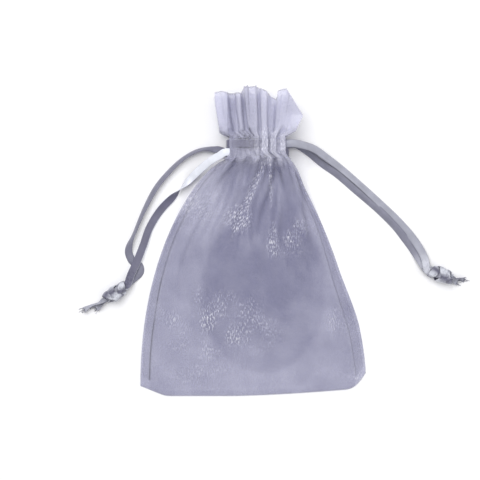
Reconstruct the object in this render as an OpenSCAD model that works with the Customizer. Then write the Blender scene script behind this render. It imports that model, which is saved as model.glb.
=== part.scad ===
// Drawstring gift pouch of sheer organza, lying on its back on a flat surface with its
// neck drawn in. Millimetres, +Z up, +X across the pouch, +Y from the bottom to the mouth.
// The origin is under the middle of the cloth, on the surface that the pouch lies on.

/* [Pouch] */
// Width of the pouch across its widest part, near the bottom
pouch_w = 90; // [70:1:130]
// Height of the pouch from the bottom fold to the top of the back header
pouch_h = 122.2; // [100:0.2:170]
// Height of the middle of the pouch above the surface it lies on, to the outside of the cloth
crown_h = 12.2; // [10:0.1:16]
// Thickness of the organza, drawn thicker than the real cloth
cloth_t = 0.4; // [0.3:0.05:0.6]
// Number of pleats that run down the front from the neck
pleat_count = 8; // [4:1:12]
// Depth of those pleats at the neck
pleat_depth = 1.1; // [0.4:0.1:1.6]

/* [Neck] */
// Width of the drawn-in neck
neck_w = 22; // [20:0.2:30]
// Distance of the neck's middle to the right of the pouch's middle
neck_shift = 1.8; // [-4:0.1:4]
// Clear height of the throat, between the front casing and the back casing
throat_h = 5.6; // [5:0.1:7]
// Height of the casing along the pouch
casing_h = 9; // [8.4:0.1:12]
// Thickness of a gathered casing, front or back
casing_t = 3.2; // [3:0.1:4]
// Thickness of the cloth over and under each tunnel of the casing
tunnel_wall = 0.6; // [0.5:0.05:0.7]

/* [Header] */
// Height of the frilled header above the casing
header_h = 19.1; // [12:0.1:26]
// Width of the header at its top edge
header_w = 33; // [26:0.5:38]
// Number of pleats across each half of the header
header_pleats = 6; // [4:1:9]
// Height of the header's pleats, from crest to valley
header_wave = 2; // [1:0.1:2.4]

/* [Seams] */
// Width of the flat edge where the two panels are sewn together
flange_w = 1.6; // [1.2:0.1:2.4]
// Width of the seam allowance that is turned inside
allowance_w = 4; // [3:0.1:6]
// Length of one stitch
stitch_l = 1.6; // [1:0.1:2.4]
// Distance from one stitch to the next
stitch_pitch = 2.6; // [2:0.1:4]
// Thickness of the sewing thread
thread_d = 0.25; // [0.15:0.05:0.3]

/* [Ribbons] */
// Width of the satin ribbon
ribbon_w = 3; // [2.4:0.1:3]
// Thickness of the ribbon, drawn thicker than the real one
ribbon_t = 0.4; // [0.3:0.05:0.45]
// Length of ribbon that each bight shows outside the casing, which is its travel and a margin
bight_out = 2.6; // [2:0.1:3]
// Length of each knot
knot_l = 9; // [7:0.5:12]
// Diameter of each knot at its thickest
knot_d = 5; // [4:0.2:6]

/* [Hidden] */
$fn = 48;

// Places along the pouch, from the bottom fold to the mouth
half_w = pouch_w / 2;
bottom_y = -pouch_h / 2;
header_top_y = pouch_h / 2;
casing_top_y = header_top_y - header_h;
casing_y = casing_top_y - casing_h;
casing_mid_y = casing_y + casing_h / 2;
body_h = casing_y - bottom_y;

// Places across the neck
neck_left = neck_shift - neck_w / 2;
neck_right = neck_shift + neck_w / 2;
rim_left = neck_left - flange_w;
rim_right = neck_right + flange_w;

// Levels above the surface that the pouch lies on
allowance_t = 0.35;
front_casing_z = casing_t + throat_h;
casing_top_z = front_casing_z + casing_t;
back_ribbon_z = casing_t / 2;
front_ribbon_z = front_casing_z + casing_t / 2;
rim_top_z = casing_top_z - 0.3;

// The outline falls in from its full width to the neck as (1 - v^a)^b, with v from the
// bottom to the neck. The pouch lies with its neck to one side, so each side has its own.
left_fall = [2.1, 0.7];
right_fall = [1.5, 0.8];
function edge_fall(v, ab) = pow(max(0, 1 - pow(v, ab[0])), ab[1]);
function left_x(v) = rim_left - (half_w + rim_left) * edge_fall(v, left_fall);
function right_x(v) = rim_right + (half_w - rim_right) * edge_fall(v, right_fall);

// The bottom edge: a corner cut off at the left, a rise and a rounder corner at the right
left_cut_share = 0.11;
left_cut_h = 4;
right_rise_start = 0.4;
right_rise_h = 3.2;
right_corner_start = 0.92;
right_corner_h = 6;
function bottom_edge_y(u) = bottom_y
    + left_cut_h * max(0, 1 - u / left_cut_share)
    + right_rise_h * pow(max(0, (u - right_rise_start) / (1 - right_rise_start)), 1.5)
    + right_corner_h * pow(max(0, (u - right_corner_start) / (1 - right_corner_start)), 2);
function place_y(u, v) = bottom_edge_y(u) + v * (casing_y - bottom_edge_y(u));

// The front panel's grid. Its outermost columns and its lowest rows make the flat edge.
front_columns = 46;
front_rows = 22;
edge_step = 0.8;
edge_lift = 0.5;
function from_edge(i) = i == 0 ? 0 : i == 1 ? flange_w : flange_w + edge_step;
function column_x(i, v) =
    i < 3 ? left_x(v) + from_edge(i) :
    i > front_columns - 3 ? right_x(v) - from_edge(front_columns - i) :
    left_x(v) + from_edge(2)
        + (right_x(v) - left_x(v) - 2 * from_edge(2)) * (i - 2) / (front_columns - 4);
function column_share(i) = (column_x(i, 0) + half_w) / pouch_w;
function row_v(j) =
    j < 3 ? from_edge(j) / body_h :
    from_edge(2) / body_h + (1 - from_edge(2) / body_h) * (j - 2) / (front_rows - 2);

// Height of the cloth: a dome that is shallow at the bottom and has steep sides at the neck,
// with pleats that fade out away from the neck
function crown(v) =
    let (rise = max(0, (v * body_h - flange_w) / (body_h - flange_w)), near_neck = pow(v, 4))
    (crown_h - 2 * cloth_t) * pow(1 - pow(1 - rise, 2.2), 0.8) * (1 - near_neck)
        + (rim_top_z - 2 * cloth_t) * near_neck;
function across(q, v) = 1 - pow(1 - min(1, q), 2 + 7 * pow(v, 5));
function front_z(x, v) =
    let (
        middle = (left_x(v) + right_x(v)) / 2,
        reach = (right_x(v) - left_x(v)) / 2,
        inward = reach - abs(x - middle) - flange_w,
        q = max(0, inward) / (reach - flange_w),
        lift = edge_lift * min(1, max(0, inward) / edge_step,
            max(0, v * body_h - flange_w) / edge_step),
        dome = crown(v) * across(q, v),
        wave = (1 - cos(360 * pleat_count * (x - middle) / (2 * reach))) / 2,
        pleat = pleat_depth * pow(v, 3) * wave * min(1, dome / (pleat_depth + 1))
    )
    2 * cloth_t + lift * (1 - q) + dome - pleat;
function front_slope(x, v) = (front_z(x + 0.1, v) - front_z(x - 0.1, v)) / 0.2;
function outer_point(i, j) =
    let (v = row_v(j), x = column_x(i, v))
    [x, place_y(column_share(i), v), front_z(x, v)];
function inner_point(i, j) =
    let (
        p = outer_point(i, j),
        flat = i < 2 || i > front_columns - 2 || j < 2,
        slope = flat ? 0 : front_slope(p[0], row_v(j)),
        run = cloth_t / sqrt(1 + slope * slope)
    )
    [p[0] + slope * run, p[1], p[2] - run];

// A closed shell between two grids of points, the upper one listed first
function grid_faces(columns, rows) =
    let (w = columns + 1, n = w * (rows + 1))
    concat(
        [for (j = [0:rows - 1]) for (i = [0:columns - 1])
            [j * w + i, (j + 1) * w + i, (j + 1) * w + i + 1]],
        [for (j = [0:rows - 1]) for (i = [0:columns - 1])
            [j * w + i, (j + 1) * w + i + 1, j * w + i + 1]],
        [for (j = [0:rows - 1]) for (i = [0:columns - 1])
            [n + j * w + i, n + (j + 1) * w + i + 1, n + (j + 1) * w + i]],
        [for (j = [0:rows - 1]) for (i = [0:columns - 1])
            [n + j * w + i, n + j * w + i + 1, n + (j + 1) * w + i + 1]],
        [for (i = [0:columns - 1]) [i, i + 1, n + i + 1]],
        [for (i = [0:columns - 1]) [i, n + i + 1, n + i]],
        [for (i = [0:columns - 1]) [rows * w + i + 1, rows * w + i, n + rows * w + i]],
        [for (i = [0:columns - 1]) [rows * w + i + 1, n + rows * w + i, n + rows * w + i + 1]],
        [for (j = [0:rows - 1]) [(j + 1) * w, j * w, n + j * w]],
        [for (j = [0:rows - 1]) [(j + 1) * w, n + j * w, n + (j + 1) * w]],
        [for (j = [1:rows]) [j * w - 1, (j + 1) * w - 1, n + (j + 1) * w - 1]],
        [for (j = [1:rows]) [j * w - 1, n + (j + 1) * w - 1, n + j * w - 1]]
    );

cloth_colour = [0.75, 0.75, 0.88];
hem_colour = [0.82, 0.82, 0.93];
thread_colour = [0.5, 0.5, 0.62];
ribbon_colour = [0.9, 0.9, 0.96];

// Panels

module back_panel() {
    color(cloth_colour)
    linear_extrude(cloth_t)
    polygon(concat(
        [for (i = [0:front_columns]) [column_x(i, 0), place_y(column_share(i), 0)]],
        [for (j = [1:front_rows]) [right_x(row_v(j)), place_y(1, row_v(j))]],
        [for (j = [front_rows:-1:1]) [left_x(row_v(j)), place_y(0, row_v(j))]]
    ));
}

module front_panel() {
    color(cloth_colour)
    polyhedron(
        points = concat(
            [for (j = [0:front_rows]) for (i = [0:front_columns]) outer_point(i, j)],
            [for (j = [0:front_rows]) for (i = [0:front_columns]) inner_point(i, j)]
        ),
        faces = grid_faces(front_columns, front_rows),
        convexity = 6
    );
}

// Seams. The allowance lies inside the pouch, on the back panel.

first_allowance_row = 4;
last_allowance_row = front_rows - 1;

// A strip whose outer edge follows one column of the front panel's grid. The column is the
// one where the panel has just risen from its flat edge; inward is 1 or -1 along X.
module allowance(column, inward) {
    rows = [for (j = [first_allowance_row:last_allowance_row]) row_v(j)];
    outer = [for (v = rows) [column_x(column, v), place_y(column_share(column), v)]];
    color(hem_colour)
    translate([0, 0, cloth_t])
    linear_extrude(allowance_t)
    polygon(concat(
        outer,
        [for (k = [len(outer) - 1:-1:0]) outer[k] + [inward * allowance_w, 0]]
    ));
}

module left_seam_allowance() {
    allowance(2, 1);
}

module right_seam_allowance() {
    allowance(front_columns - 2, -1);
}

// One stitch: a half-round length of thread that lies flat along X
module stitch() {
    translate([-stitch_l / 2, 0, 0])
    rotate([90, 0, 90])
    linear_extrude(stitch_l)
    intersection() {
        circle(thread_d, $fn = 24);
        translate([-thread_d, 0]) square([2 * thread_d, thread_d]);
    }
}

module stitch_between(a, b) {
    translate([(a[0] + b[0]) / 2, (a[1] + b[1]) / 2, 2 * cloth_t])
    rotate([0, 0, atan2(b[1] - a[1], b[0] - a[0])])
    stitch();
}

side_stitches = floor(0.9 * body_h / stitch_pitch);
function side_v(k) = 0.06 + 0.9 * k / side_stitches;
function left_seam_point(v) = [left_x(v) + flange_w / 2, place_y(0, v)];
function right_seam_point(v) = [right_x(v) - flange_w / 2, place_y(1, v)];

module left_seam_thread() {
    color(thread_colour)
    for (k = [0:side_stitches - 1])
        stitch_between(left_seam_point(side_v(k)), left_seam_point(side_v(k + 0.6)));
}

module right_seam_thread() {
    color(thread_colour)
    for (k = [0:side_stitches - 1])
        stitch_between(right_seam_point(side_v(k)), right_seam_point(side_v(k + 0.6)));
}

// Casings. The gathers run along Y; two stitched lines run across them.

gathers = 2 * header_pleats;
gather_steps = 6 * gathers;
gather_depth = 0.4;
hem_w = 1;
groove_w = 0.5;
groove_depth = 0.5;
thread_y = hem_w / 2;
ribbon_gap = 0.4;
stitches_across = floor((neck_w - stitch_l) / stitch_pitch);
function gather_z(s) = casing_t - gather_depth * (1 + cos(360 * gathers * s)) / 2;

// A casing that lies with its gathered face up and its flat face at z = 0
module casing() {
    difference() {
        translate([neck_left, casing_top_y, 0])
        rotate([90, 0, 0])
        linear_extrude(casing_h)
        polygon(concat(
            [[0, 0], [neck_w, 0]],
            [for (k = [gather_steps:-1:0]) [neck_w * k / gather_steps, gather_z(k / gather_steps)]]
        ));
        translate([neck_left - 1, casing_y + hem_w, tunnel_wall])
        cube([neck_w + 2, casing_h - 2 * hem_w, casing_t - gather_depth - 2 * tunnel_wall]);
        for (y = [casing_y + thread_y, casing_top_y - thread_y])
            translate([neck_left - 1, y - groove_w / 2, casing_t - groove_depth])
            cube([neck_w + 2, groove_w, groove_depth + 1]);
    }
}

module casing_thread(y) {
    translate([neck_shift - stitch_pitch * (stitches_across - 1) / 2, y, casing_t - groove_depth])
    for (k = [0:stitches_across - 1])
        translate([k * stitch_pitch, 0, 0])
        stitch();
}

module upside_down() {
    translate([0, 0, casing_t]) mirror([0, 0, 1]) children();
}

module front_casing() {
    color(hem_colour) translate([0, 0, front_casing_z]) casing();
}

module back_casing() {
    color(hem_colour) upside_down() casing();
}

module front_casing_lower_thread() {
    color(thread_colour) translate([0, 0, front_casing_z]) casing_thread(casing_y + thread_y);
}

module front_casing_upper_thread() {
    color(thread_colour) translate([0, 0, front_casing_z]) casing_thread(casing_top_y - thread_y);
}

module back_casing_lower_thread() {
    color(thread_colour) upside_down() casing_thread(casing_y + thread_y);
}

module back_casing_upper_thread() {
    color(thread_colour) upside_down() casing_thread(casing_top_y - thread_y);
}

// Headers: a doubled layer of cloth, frilled, that widens from the casing to its top edge

header_columns = 8 * header_pleats;
header_rows = 10;
header_t = 2 * cloth_t;
hinge_gap = 0.3;
function header_width(t) = neck_w + (header_w - neck_w) * pow(t, 0.8);
function header_point(i, j, y0, y1, level) =
    let (
        s = i / header_columns,
        t = j / header_rows,
        wave = (header_wave - header_t) / 2 * cos(360 * header_pleats * s)
            * (0.7 + 0.3 * cos(250 * t + 200 * s))
    )
    [neck_shift + (s - 0.5) * header_width(t), y0 + (y1 - y0) * t, casing_t / 2 + wave + level];

module header(y0, y1) {
    color(hem_colour)
    polyhedron(
        points = concat(
            [for (j = [0:header_rows]) for (i = [0:header_columns])
                header_point(i, j, y0, y1, header_t / 2)],
            [for (j = [0:header_rows]) for (i = [0:header_columns])
                header_point(i, j, y0, y1, -header_t / 2)]
        ),
        faces = grid_faces(header_columns, header_rows),
        convexity = 6
    );
}

front_header_short = 1.4;

module front_header() {
    translate([0, 0, front_casing_z])
    header(casing_top_y + hinge_gap, header_top_y - front_header_short);
}

module back_header() {
    header(casing_top_y, header_top_y);
}

// Ribbons. Each one runs in through one end of the back casing, round the far end of the
// neck and back out through the front casing; its two strands are knotted together.

bight_r = 1.5;
left_track_y = casing_mid_y - (ribbon_w + ribbon_gap) / 2;
right_track_y = casing_mid_y + (ribbon_w + ribbon_gap) / 2;
bight_x = bight_out + ribbon_t / 2;

module corner_arc() {
    intersection() {
        difference() {
            circle(bight_r + ribbon_t / 2);
            circle(bight_r - ribbon_t / 2);
        }
        square(2 * bight_r);
    }
}

// The ribbon's way through both casings seen from the bottom of the pouch, in X and Z,
// with the mouths at X = 0 and the bight beyond X = neck_w
module run_outline() {
    turn_x = neck_w + bight_x - bight_r;
    translate([0, back_ribbon_z - ribbon_t / 2]) square([turn_x, ribbon_t]);
    translate([0, front_ribbon_z - ribbon_t / 2]) square([turn_x, ribbon_t]);
    translate([turn_x, front_ribbon_z - bight_r]) corner_arc();
    translate([turn_x, back_ribbon_z + bight_r]) mirror([0, 1]) corner_arc();
    translate([neck_w + bight_out, back_ribbon_z + bight_r])
    square([ribbon_t, front_ribbon_z - back_ribbon_z - 2 * bight_r]);
}

module ribbon_run() {
    translate([0, ribbon_w / 2, 0])
    rotate([90, 0, 0])
    linear_extrude(ribbon_w)
    run_outline();
}

module left_ribbon_run() {
    color(ribbon_colour) translate([neck_left, left_track_y, 0]) ribbon_run();
}

module right_ribbon_run() {
    color(ribbon_colour) translate([neck_right, right_track_y, 0]) mirror([1, 0, 0]) ribbon_run();
}

// A strand's route: each entry holds the distance from the mouth of the casing across and
// along, the share of the mouth's height that is left, the height of the ribbon where it
// lies, and its roll. Distances follow the pouch's width and height.
route_w = 90;
route_h = 122.2;
function on_route(r, mouth) = [
    mouth[0] + r[0] * pouch_w / route_w,
    mouth[1] + r[1] * pouch_h / route_h,
    r[2] * mouth[2] + (1 - r[2]) * r[3]
];
function place(route, mouth) = [for (r = route) on_route(r, mouth)];
function rolls(route) = [for (r = route) r[4]];
function last_roll(route) = route[len(route) - 1][4];

// The section of the ribbon, with its edges taken off
section_edge = 0.15;
ribbon_section = [
    [ribbon_w / 2, ribbon_t / 4], [ribbon_w / 2 - section_edge, ribbon_t / 2],
    [-ribbon_w / 2 + section_edge, ribbon_t / 2], [-ribbon_w / 2, ribbon_t / 4],
    [-ribbon_w / 2, -ribbon_t / 4], [-ribbon_w / 2 + section_edge, -ribbon_t / 2],
    [ribbon_w / 2 - section_edge, -ribbon_t / 2], [ribbon_w / 2, -ribbon_t / 4]
];

function unit(v) = v / norm(v);
function heading(p, i) = unit(
    (i < len(p) - 1 ? unit(p[i + 1] - p[i]) : [0, 0, 0]) + (i > 0 ? unit(p[i] - p[i - 1]) : [0, 0, 0]));
function ring(p, i, roll) =
    let (
        t = heading(p, i),
        side = unit(cross([0, 0, 1], t)),
        top = cross(t, side),
        a = cos(roll) * side + sin(roll) * top,
        b = cross(t, a)
    )
    [for (s = ribbon_section) p[i] + s[0] * a + s[1] * b];

// A ribbon swept along a route: eight sides, one ring for each point of the route
module swept_ribbon(p, roll) {
    n = len(p);
    k = len(ribbon_section);
    polyhedron(
        points = [for (i = [0:n - 1]) each ring(p, i, roll[i])],
        faces = concat(
            [[for (s = [0:k - 1]) s]],
            [[for (s = [k - 1:-1:0]) (n - 1) * k + s]],
            [for (i = [0:n - 2]) for (s = [0:k - 1])
                [i * k + s, (i + 1) * k + s, i * k + (s + 1) % k]],
            [for (i = [0:n - 2]) for (s = [0:k - 1])
                [i * k + (s + 1) % k, (i + 1) * k + s, (i + 1) * k + (s + 1) % k]]
        ),
        convexity = 4
    );
}

// Knots lie on the surface beside the pouch
knot_clear = 0.1;
knot_z = knot_d / 2 + knot_clear;
knot_end_r = 1.8;
stack = 0.35;
left_knot_way = 215;
right_knot_way = -19;
left_mouth = [neck_left, left_track_y, 0];
right_mouth = [neck_right, right_track_y, 0];
left_knot_in = on_route([-42, -53, 0, knot_z], left_mouth);
right_knot_in = on_route([58, -50.4, 0, knot_z], right_mouth);
function along(way) = [cos(way), sin(way), 0];
function ending(p, way, level) = [
    [p[0], p[1], p[2] + level] - 1.6 * along(way),
    [p[0], p[1], p[2] + level]
];

function knot_r(s) = knot_end_r + (knot_d / 2 - 0.4 - knot_end_r) * pow(sin(180 * s), 0.6);
knot_steps = 12;

module knot(p, way) {
    translate(p)
    rotate([0, 0, way])
    rotate([0, 90, 0]) {
        rotate_extrude()
        polygon(concat(
            [[0, 0]],
            [for (k = [0:knot_steps]) [knot_r(k / knot_steps), knot_l * k / knot_steps]],
            [[0, knot_l]]
        ));
        translate([0, 0, knot_l / 2])
        rotate([24, 0, 0])
        rotate_extrude()
        translate([knot_d / 2 - 0.9, 0])
        circle(0.8, $fn = 24);
    }
}

module strand(route, mouth_z, mouth, knot_in, way, level) {
    start = [mouth[0], mouth[1], mouth_z];
    swept_ribbon(
        concat(place(route, start), ending(knot_in, way, level)),
        concat(rolls(route), [last_roll(route), last_roll(route)])
    );
}

left_front_route = [
    [0, 0, 1, 0, 0], [-3, 0, 1, 0, 0], [-8, -2.5, 0.78, 0, 0], [-12.5, -6, 0.42, 1, 0],
    [-16.5, -10, 0.12, 1.2, 20], [-20, -14, 0, 2, 90], [-23.5, -18, 0, 1.2, 160],
    [-28, -23, 0, 0.4, 180], [-32, -29.5, 0, 0.4, 180], [-34.5, -36.5, 0, 0.9, 180],
    [-37, -43, 0, 1.4, 180], [-39.5, -48.5, 0, 2, 180]
];
left_back_route = [
    [0, 0, 1, 0, 0], [-4, 0, 1, 0, 0], [-11, 0.2, 0.3, 0.4, 0], [-17.5, -3, 0, 0.4, 0],
    [-24, -8.5, 0, 0.4, 0], [-29.5, -14.5, 0, 0.4, 0], [-34, -22, 0, 0.4, 0],
    [-37.5, -30, 0, 0.4, 0], [-40.5, -38, 0, 0.4, 0], [-39.5, -42.5, 0, 0.4, 0],
    [-37.5, -45.5, 0, 0.4, 0], [-38.4, -49, 0, 0.8, 0]
];
right_front_route = [
    [0, 0, 1, 0, 0], [4, 0, 1, 0, 0], [11, -1.4, 0.6, 0, 0], [17, -5, 0.25, 1, 0],
    [23.2, -9.4, 0, 1, 0], [31.2, -16.3, 0, 0.8, 0], [39, -23.6, 0, 0.6, 0],
    [46.5, -31, 0, 0.6, 0], [52.5, -38.5, 0, 0.9, 0], [55.8, -44.5, 0, 1.6, 0]
];
right_back_route = [
    [0, 0, 1, 0, 0], [4.5, 0, 1, 0, 0], [9.5, -3.6, 0.4, 0.4, 0], [14.5, -8, 0, 0.4, 0],
    [21, -12.6, 0, 0.4, 0], [28.5, -19, 0, 0.4, 0], [36.3, -25.8, 0, 0.4, 0],
    [43.6, -33.2, 0, 0.4, 0], [49.6, -40.6, 0, 0.4, 0], [53, -45.6, 0, 1, 0]
];

module left_ribbon_front_strand() {
    color(ribbon_colour)
    strand(left_front_route, front_ribbon_z, left_mouth, left_knot_in, left_knot_way, stack);
}

module left_ribbon_back_strand() {
    color(ribbon_colour)
    strand(left_back_route, back_ribbon_z, left_mouth, left_knot_in, left_knot_way, -stack);
}

module right_ribbon_front_strand() {
    color(ribbon_colour)
    strand(right_front_route, front_ribbon_z, right_mouth, right_knot_in, right_knot_way, stack);
}

module right_ribbon_back_strand() {
    color(ribbon_colour)
    strand(right_back_route, back_ribbon_z, right_mouth, right_knot_in, right_knot_way, -stack);
}

module left_knot() {
    color(ribbon_colour) knot(left_knot_in, left_knot_way);
}

module right_knot() {
    color(ribbon_colour) knot(right_knot_in, right_knot_way);
}

// Two cut ends leave each knot; each entry holds the distance along, to the side and down
module tail(p, way, level, route) {
    start = p + knot_l * along(way) + [0, 0, level];
    side = along(way + 90);
    swept_ribbon(
        [for (r = route) start + r[0] * along(way) + r[1] * side - [0, 0, r[2]]],
        [for (r = route) 0]
    );
}

left_upper_tail = [[0, 0, 0], [1.6, 0, 0], [5, -1.4, 1.2], [10, -1, 1.8]];
left_lower_tail = [[0, 0, 0], [1.6, 0, 0], [4.5, 0.6, 1.4], [8, 1.6, 1.8]];
right_upper_tail = [[0, 0, 0], [1.4, 0, 0], [3.2, 0.8, 1], [5.4, 1.2, 1.6]];
right_lower_tail = [[0, 0, 0], [1.4, 0, 0], [2.8, -0.4, 1.2], [4.4, -0.6, 1.8]];

module left_ribbon_tails() {
    color(ribbon_colour) {
        tail(left_knot_in, left_knot_way, stack, left_upper_tail);
        tail(left_knot_in, left_knot_way, -stack, left_lower_tail);
    }
}

module right_ribbon_tails() {
    color(ribbon_colour) {
        tail(right_knot_in, right_knot_way, stack, right_upper_tail);
        tail(right_knot_in, right_knot_way, -stack, right_lower_tail);
    }
}

back_panel();
front_panel();
left_seam_allowance();
right_seam_allowance();
left_seam_thread();
right_seam_thread();
front_casing();
back_casing();
front_casing_lower_thread();
front_casing_upper_thread();
back_casing_lower_thread();
back_casing_upper_thread();
front_header();
back_header();
left_ribbon_run();
left_ribbon_front_strand();
left_ribbon_back_strand();
left_knot();
left_ribbon_tails();
right_ribbon_run();
right_ribbon_front_strand();
right_ribbon_back_strand();
right_knot();
right_ribbon_tails();
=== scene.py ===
"""Drawstring gift pouch of sheer organza, lying on its back with its neck drawn in.

Each piece is a surface worked out with numpy from the frame's own boxes. The two halves of
the pouch are cloth that a small solver gathers and settles: threads keep their length, the
seams and the casing hold their places, and the rest falls into folds.
"""

import math

import bpy
import numpy as np
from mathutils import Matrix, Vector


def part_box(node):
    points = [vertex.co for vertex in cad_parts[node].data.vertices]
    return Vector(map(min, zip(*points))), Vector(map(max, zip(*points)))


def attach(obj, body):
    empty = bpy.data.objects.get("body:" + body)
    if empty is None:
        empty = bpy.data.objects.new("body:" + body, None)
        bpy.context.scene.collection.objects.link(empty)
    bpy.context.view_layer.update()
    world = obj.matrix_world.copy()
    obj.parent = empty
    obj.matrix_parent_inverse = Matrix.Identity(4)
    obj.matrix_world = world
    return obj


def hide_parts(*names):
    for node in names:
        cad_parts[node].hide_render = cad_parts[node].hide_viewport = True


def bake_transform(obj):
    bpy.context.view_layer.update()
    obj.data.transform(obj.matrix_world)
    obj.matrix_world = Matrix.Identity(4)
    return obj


bl_info = {
    "name": "Organza Drawstring Pouch",
    "version": (1, 0, 0),
    "blender": (4, 5, 0),
    "location": "3D View > Sidebar > Pouch",
    "description": "Makes an organza gift pouch with satin drawstrings",
    "category": "Add Mesh",
}

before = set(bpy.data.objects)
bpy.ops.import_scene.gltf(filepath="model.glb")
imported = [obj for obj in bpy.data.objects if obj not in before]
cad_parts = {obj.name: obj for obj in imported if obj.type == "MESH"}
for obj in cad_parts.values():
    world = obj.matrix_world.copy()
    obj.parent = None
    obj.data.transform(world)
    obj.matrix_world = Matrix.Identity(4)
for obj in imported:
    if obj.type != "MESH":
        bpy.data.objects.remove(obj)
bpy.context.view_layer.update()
MM = 0.001


def box_mm(node):
    """A CAD node's lowest and highest corner, in millimetres."""
    low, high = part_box(node)
    return np.array(low, float) / MM, np.array(high, float) / MM


PANEL_LOW, PANEL_HIGH = box_mm("back_panel")
CASING_LOW, CASING_HIGH = box_mm("front_casing")
BACK_CASING_LOW, BACK_CASING_HIGH = box_mm("back_casing")
LEFT_RUN_LOW, LEFT_RUN_HIGH = box_mm("left_ribbon_run")
RIGHT_RUN_LOW, RIGHT_RUN_HIGH = box_mm("right_ribbon_run")

NECK_LEFT, NECK_RIGHT = CASING_LOW[0], CASING_HIGH[0]
CASING_Y, CASING_TOP_Y = CASING_LOW[1], CASING_HIGH[1]
FRONT_RIBBON_Z = (CASING_LOW[2] + CASING_HIGH[2]) / 2
BACK_RIBBON_Z = (BACK_CASING_LOW[2] + BACK_CASING_HIGH[2]) / 2


# ---------------------------------------------------------------- sizes and colours


class PouchSizes(bpy.types.PropertyGroup):
    """Sizes that change how the cloth and the ribbons look."""

    cloth_width: bpy.props.FloatProperty(
        name="Cloth width",
        description="Width of each half of the cloth, laid flat",
        default=0.090,
        unit="LENGTH",
    )
    header_length: bpy.props.FloatProperty(
        name="Header length",
        description="Length of cloth above the casing",
        default=0.019,
        unit="LENGTH",
    )
    cloth_thickness: bpy.props.FloatProperty(
        name="Cloth thickness",
        description="Thickness of the organza",
        default=0.00012,
        unit="LENGTH",
    )
    allowance: bpy.props.FloatProperty(
        name="Seam allowance",
        description="Width of the raw edges turned inside",
        default=0.0038,
        unit="LENGTH",
    )
    ribbon_width: bpy.props.FloatProperty(
        name="Ribbon width",
        description="Width of the satin ribbon",
        default=0.0031,
        unit="LENGTH",
    )
    ribbon_thickness: bpy.props.FloatProperty(
        name="Ribbon thickness",
        description="Thickness of the satin ribbon",
        default=0.00026,
        unit="LENGTH",
    )
    thread: bpy.props.FloatProperty(
        name="Thread thickness",
        description="Thickness of the sewing thread",
        default=0.00018,
        unit="LENGTH",
    )
    stitch: bpy.props.FloatProperty(
        name="Stitch pitch",
        description="Distance from one stitch to the next",
        default=0.0024,
        unit="LENGTH",
    )


def colour_property(name, description, hex_colour):
    """A colour swatch whose default is the sRGB hex colour turned to linear."""
    return bpy.props.FloatVectorProperty(
        name=name,
        description=description,
        subtype="COLOR",
        size=3,
        min=0.0,
        max=1.0,
        default=linear(hex_colour),
    )


def linear(hex_colour):
    """sRGB hex to linear: each part is divided by 12.92 when dark, else raised to 2.4."""
    parts = [int(hex_colour[i : i + 2], 16) / 255 for i in (1, 3, 5)]
    return tuple(p / 12.92 if p <= 0.04045 else ((p + 0.055) / 1.055) ** 2.4 for p in parts)


class PouchColours(bpy.types.PropertyGroup):
    """Colours of the cloth, the thread, the ribbons and the floor."""

    organza_light: colour_property("Organza, light", "Organza where it catches light", "#EAEAFF")
    organza_shade: colour_property("Organza, shade", "Organza in its duller parts", "#8E8EB3")
    # Painted glint: near-white mixed into the organza where it would catch the light.
    glint: colour_property("Glint", "Sparkle of crushed organza", "#F4F4FC")
    # Near-black raw edge: the real edge of the allowance, drawn dark as painted shade along it.
    raw_edge: colour_property("Raw edge", "Raw edge of the seam allowance", "#12121F")
    thread: colour_property("Thread", "Sewing thread", "#A9A9C4")
    # Painted sheen: the near-white colour of the satin face where it would catch the light;
    # satin_back is the ribbon's own duller colour.
    satin_sheen: colour_property("Satin face", "Bright face of the ribbon", "#F0F3FE")
    satin_back: colour_property("Satin back", "Duller back of the ribbon", "#66657C")
    floor: colour_property("Floor", "Plain pale floor", "#FDFDFF")


def sizes():
    """The sizes that a user can change."""
    return bpy.context.scene.pouch_sizes


def colours():
    """The colours that a user can change."""
    return bpy.context.scene.pouch_colours


# ---------------------------------------------------------------- material nodes


def add(tree, kind, inputs=None, **settings):
    """Adds a node. settings are its attributes; inputs maps a socket to a value or a link."""
    node = tree.nodes.new(kind)
    for name, value in settings.items():
        setattr(node, name, value)
    for key, value in (inputs or {}).items():
        if isinstance(value, bpy.types.NodeSocket):
            tree.links.new(value, node.inputs[key])
        else:
            node.inputs[key].default_value = value
    return node


def blank_material(name):
    """A material with only a Principled shader and its output."""
    material = bpy.data.materials.new(name)
    material.use_nodes = True
    tree = material.node_tree
    tree.nodes.clear()
    shader = add(tree, "ShaderNodeBsdfPrincipled")
    output = add(tree, "ShaderNodeOutputMaterial", {"Surface": shader.outputs["BSDF"]})
    output.location = (300, 0)
    return material, tree, shader


def rgba(colour):
    """The colour with full opacity, as a Mix node wants it."""
    return (*colour, 1.0)


def wave_scale(pitch_mm):
    """The scale at which a wave texture's bands lie that far apart. Its wave is the sine of
    20 times scale times place, and a UV unit is 100 mm of cloth."""
    return 2 * math.pi / 20 / (pitch_mm / 100)


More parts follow.
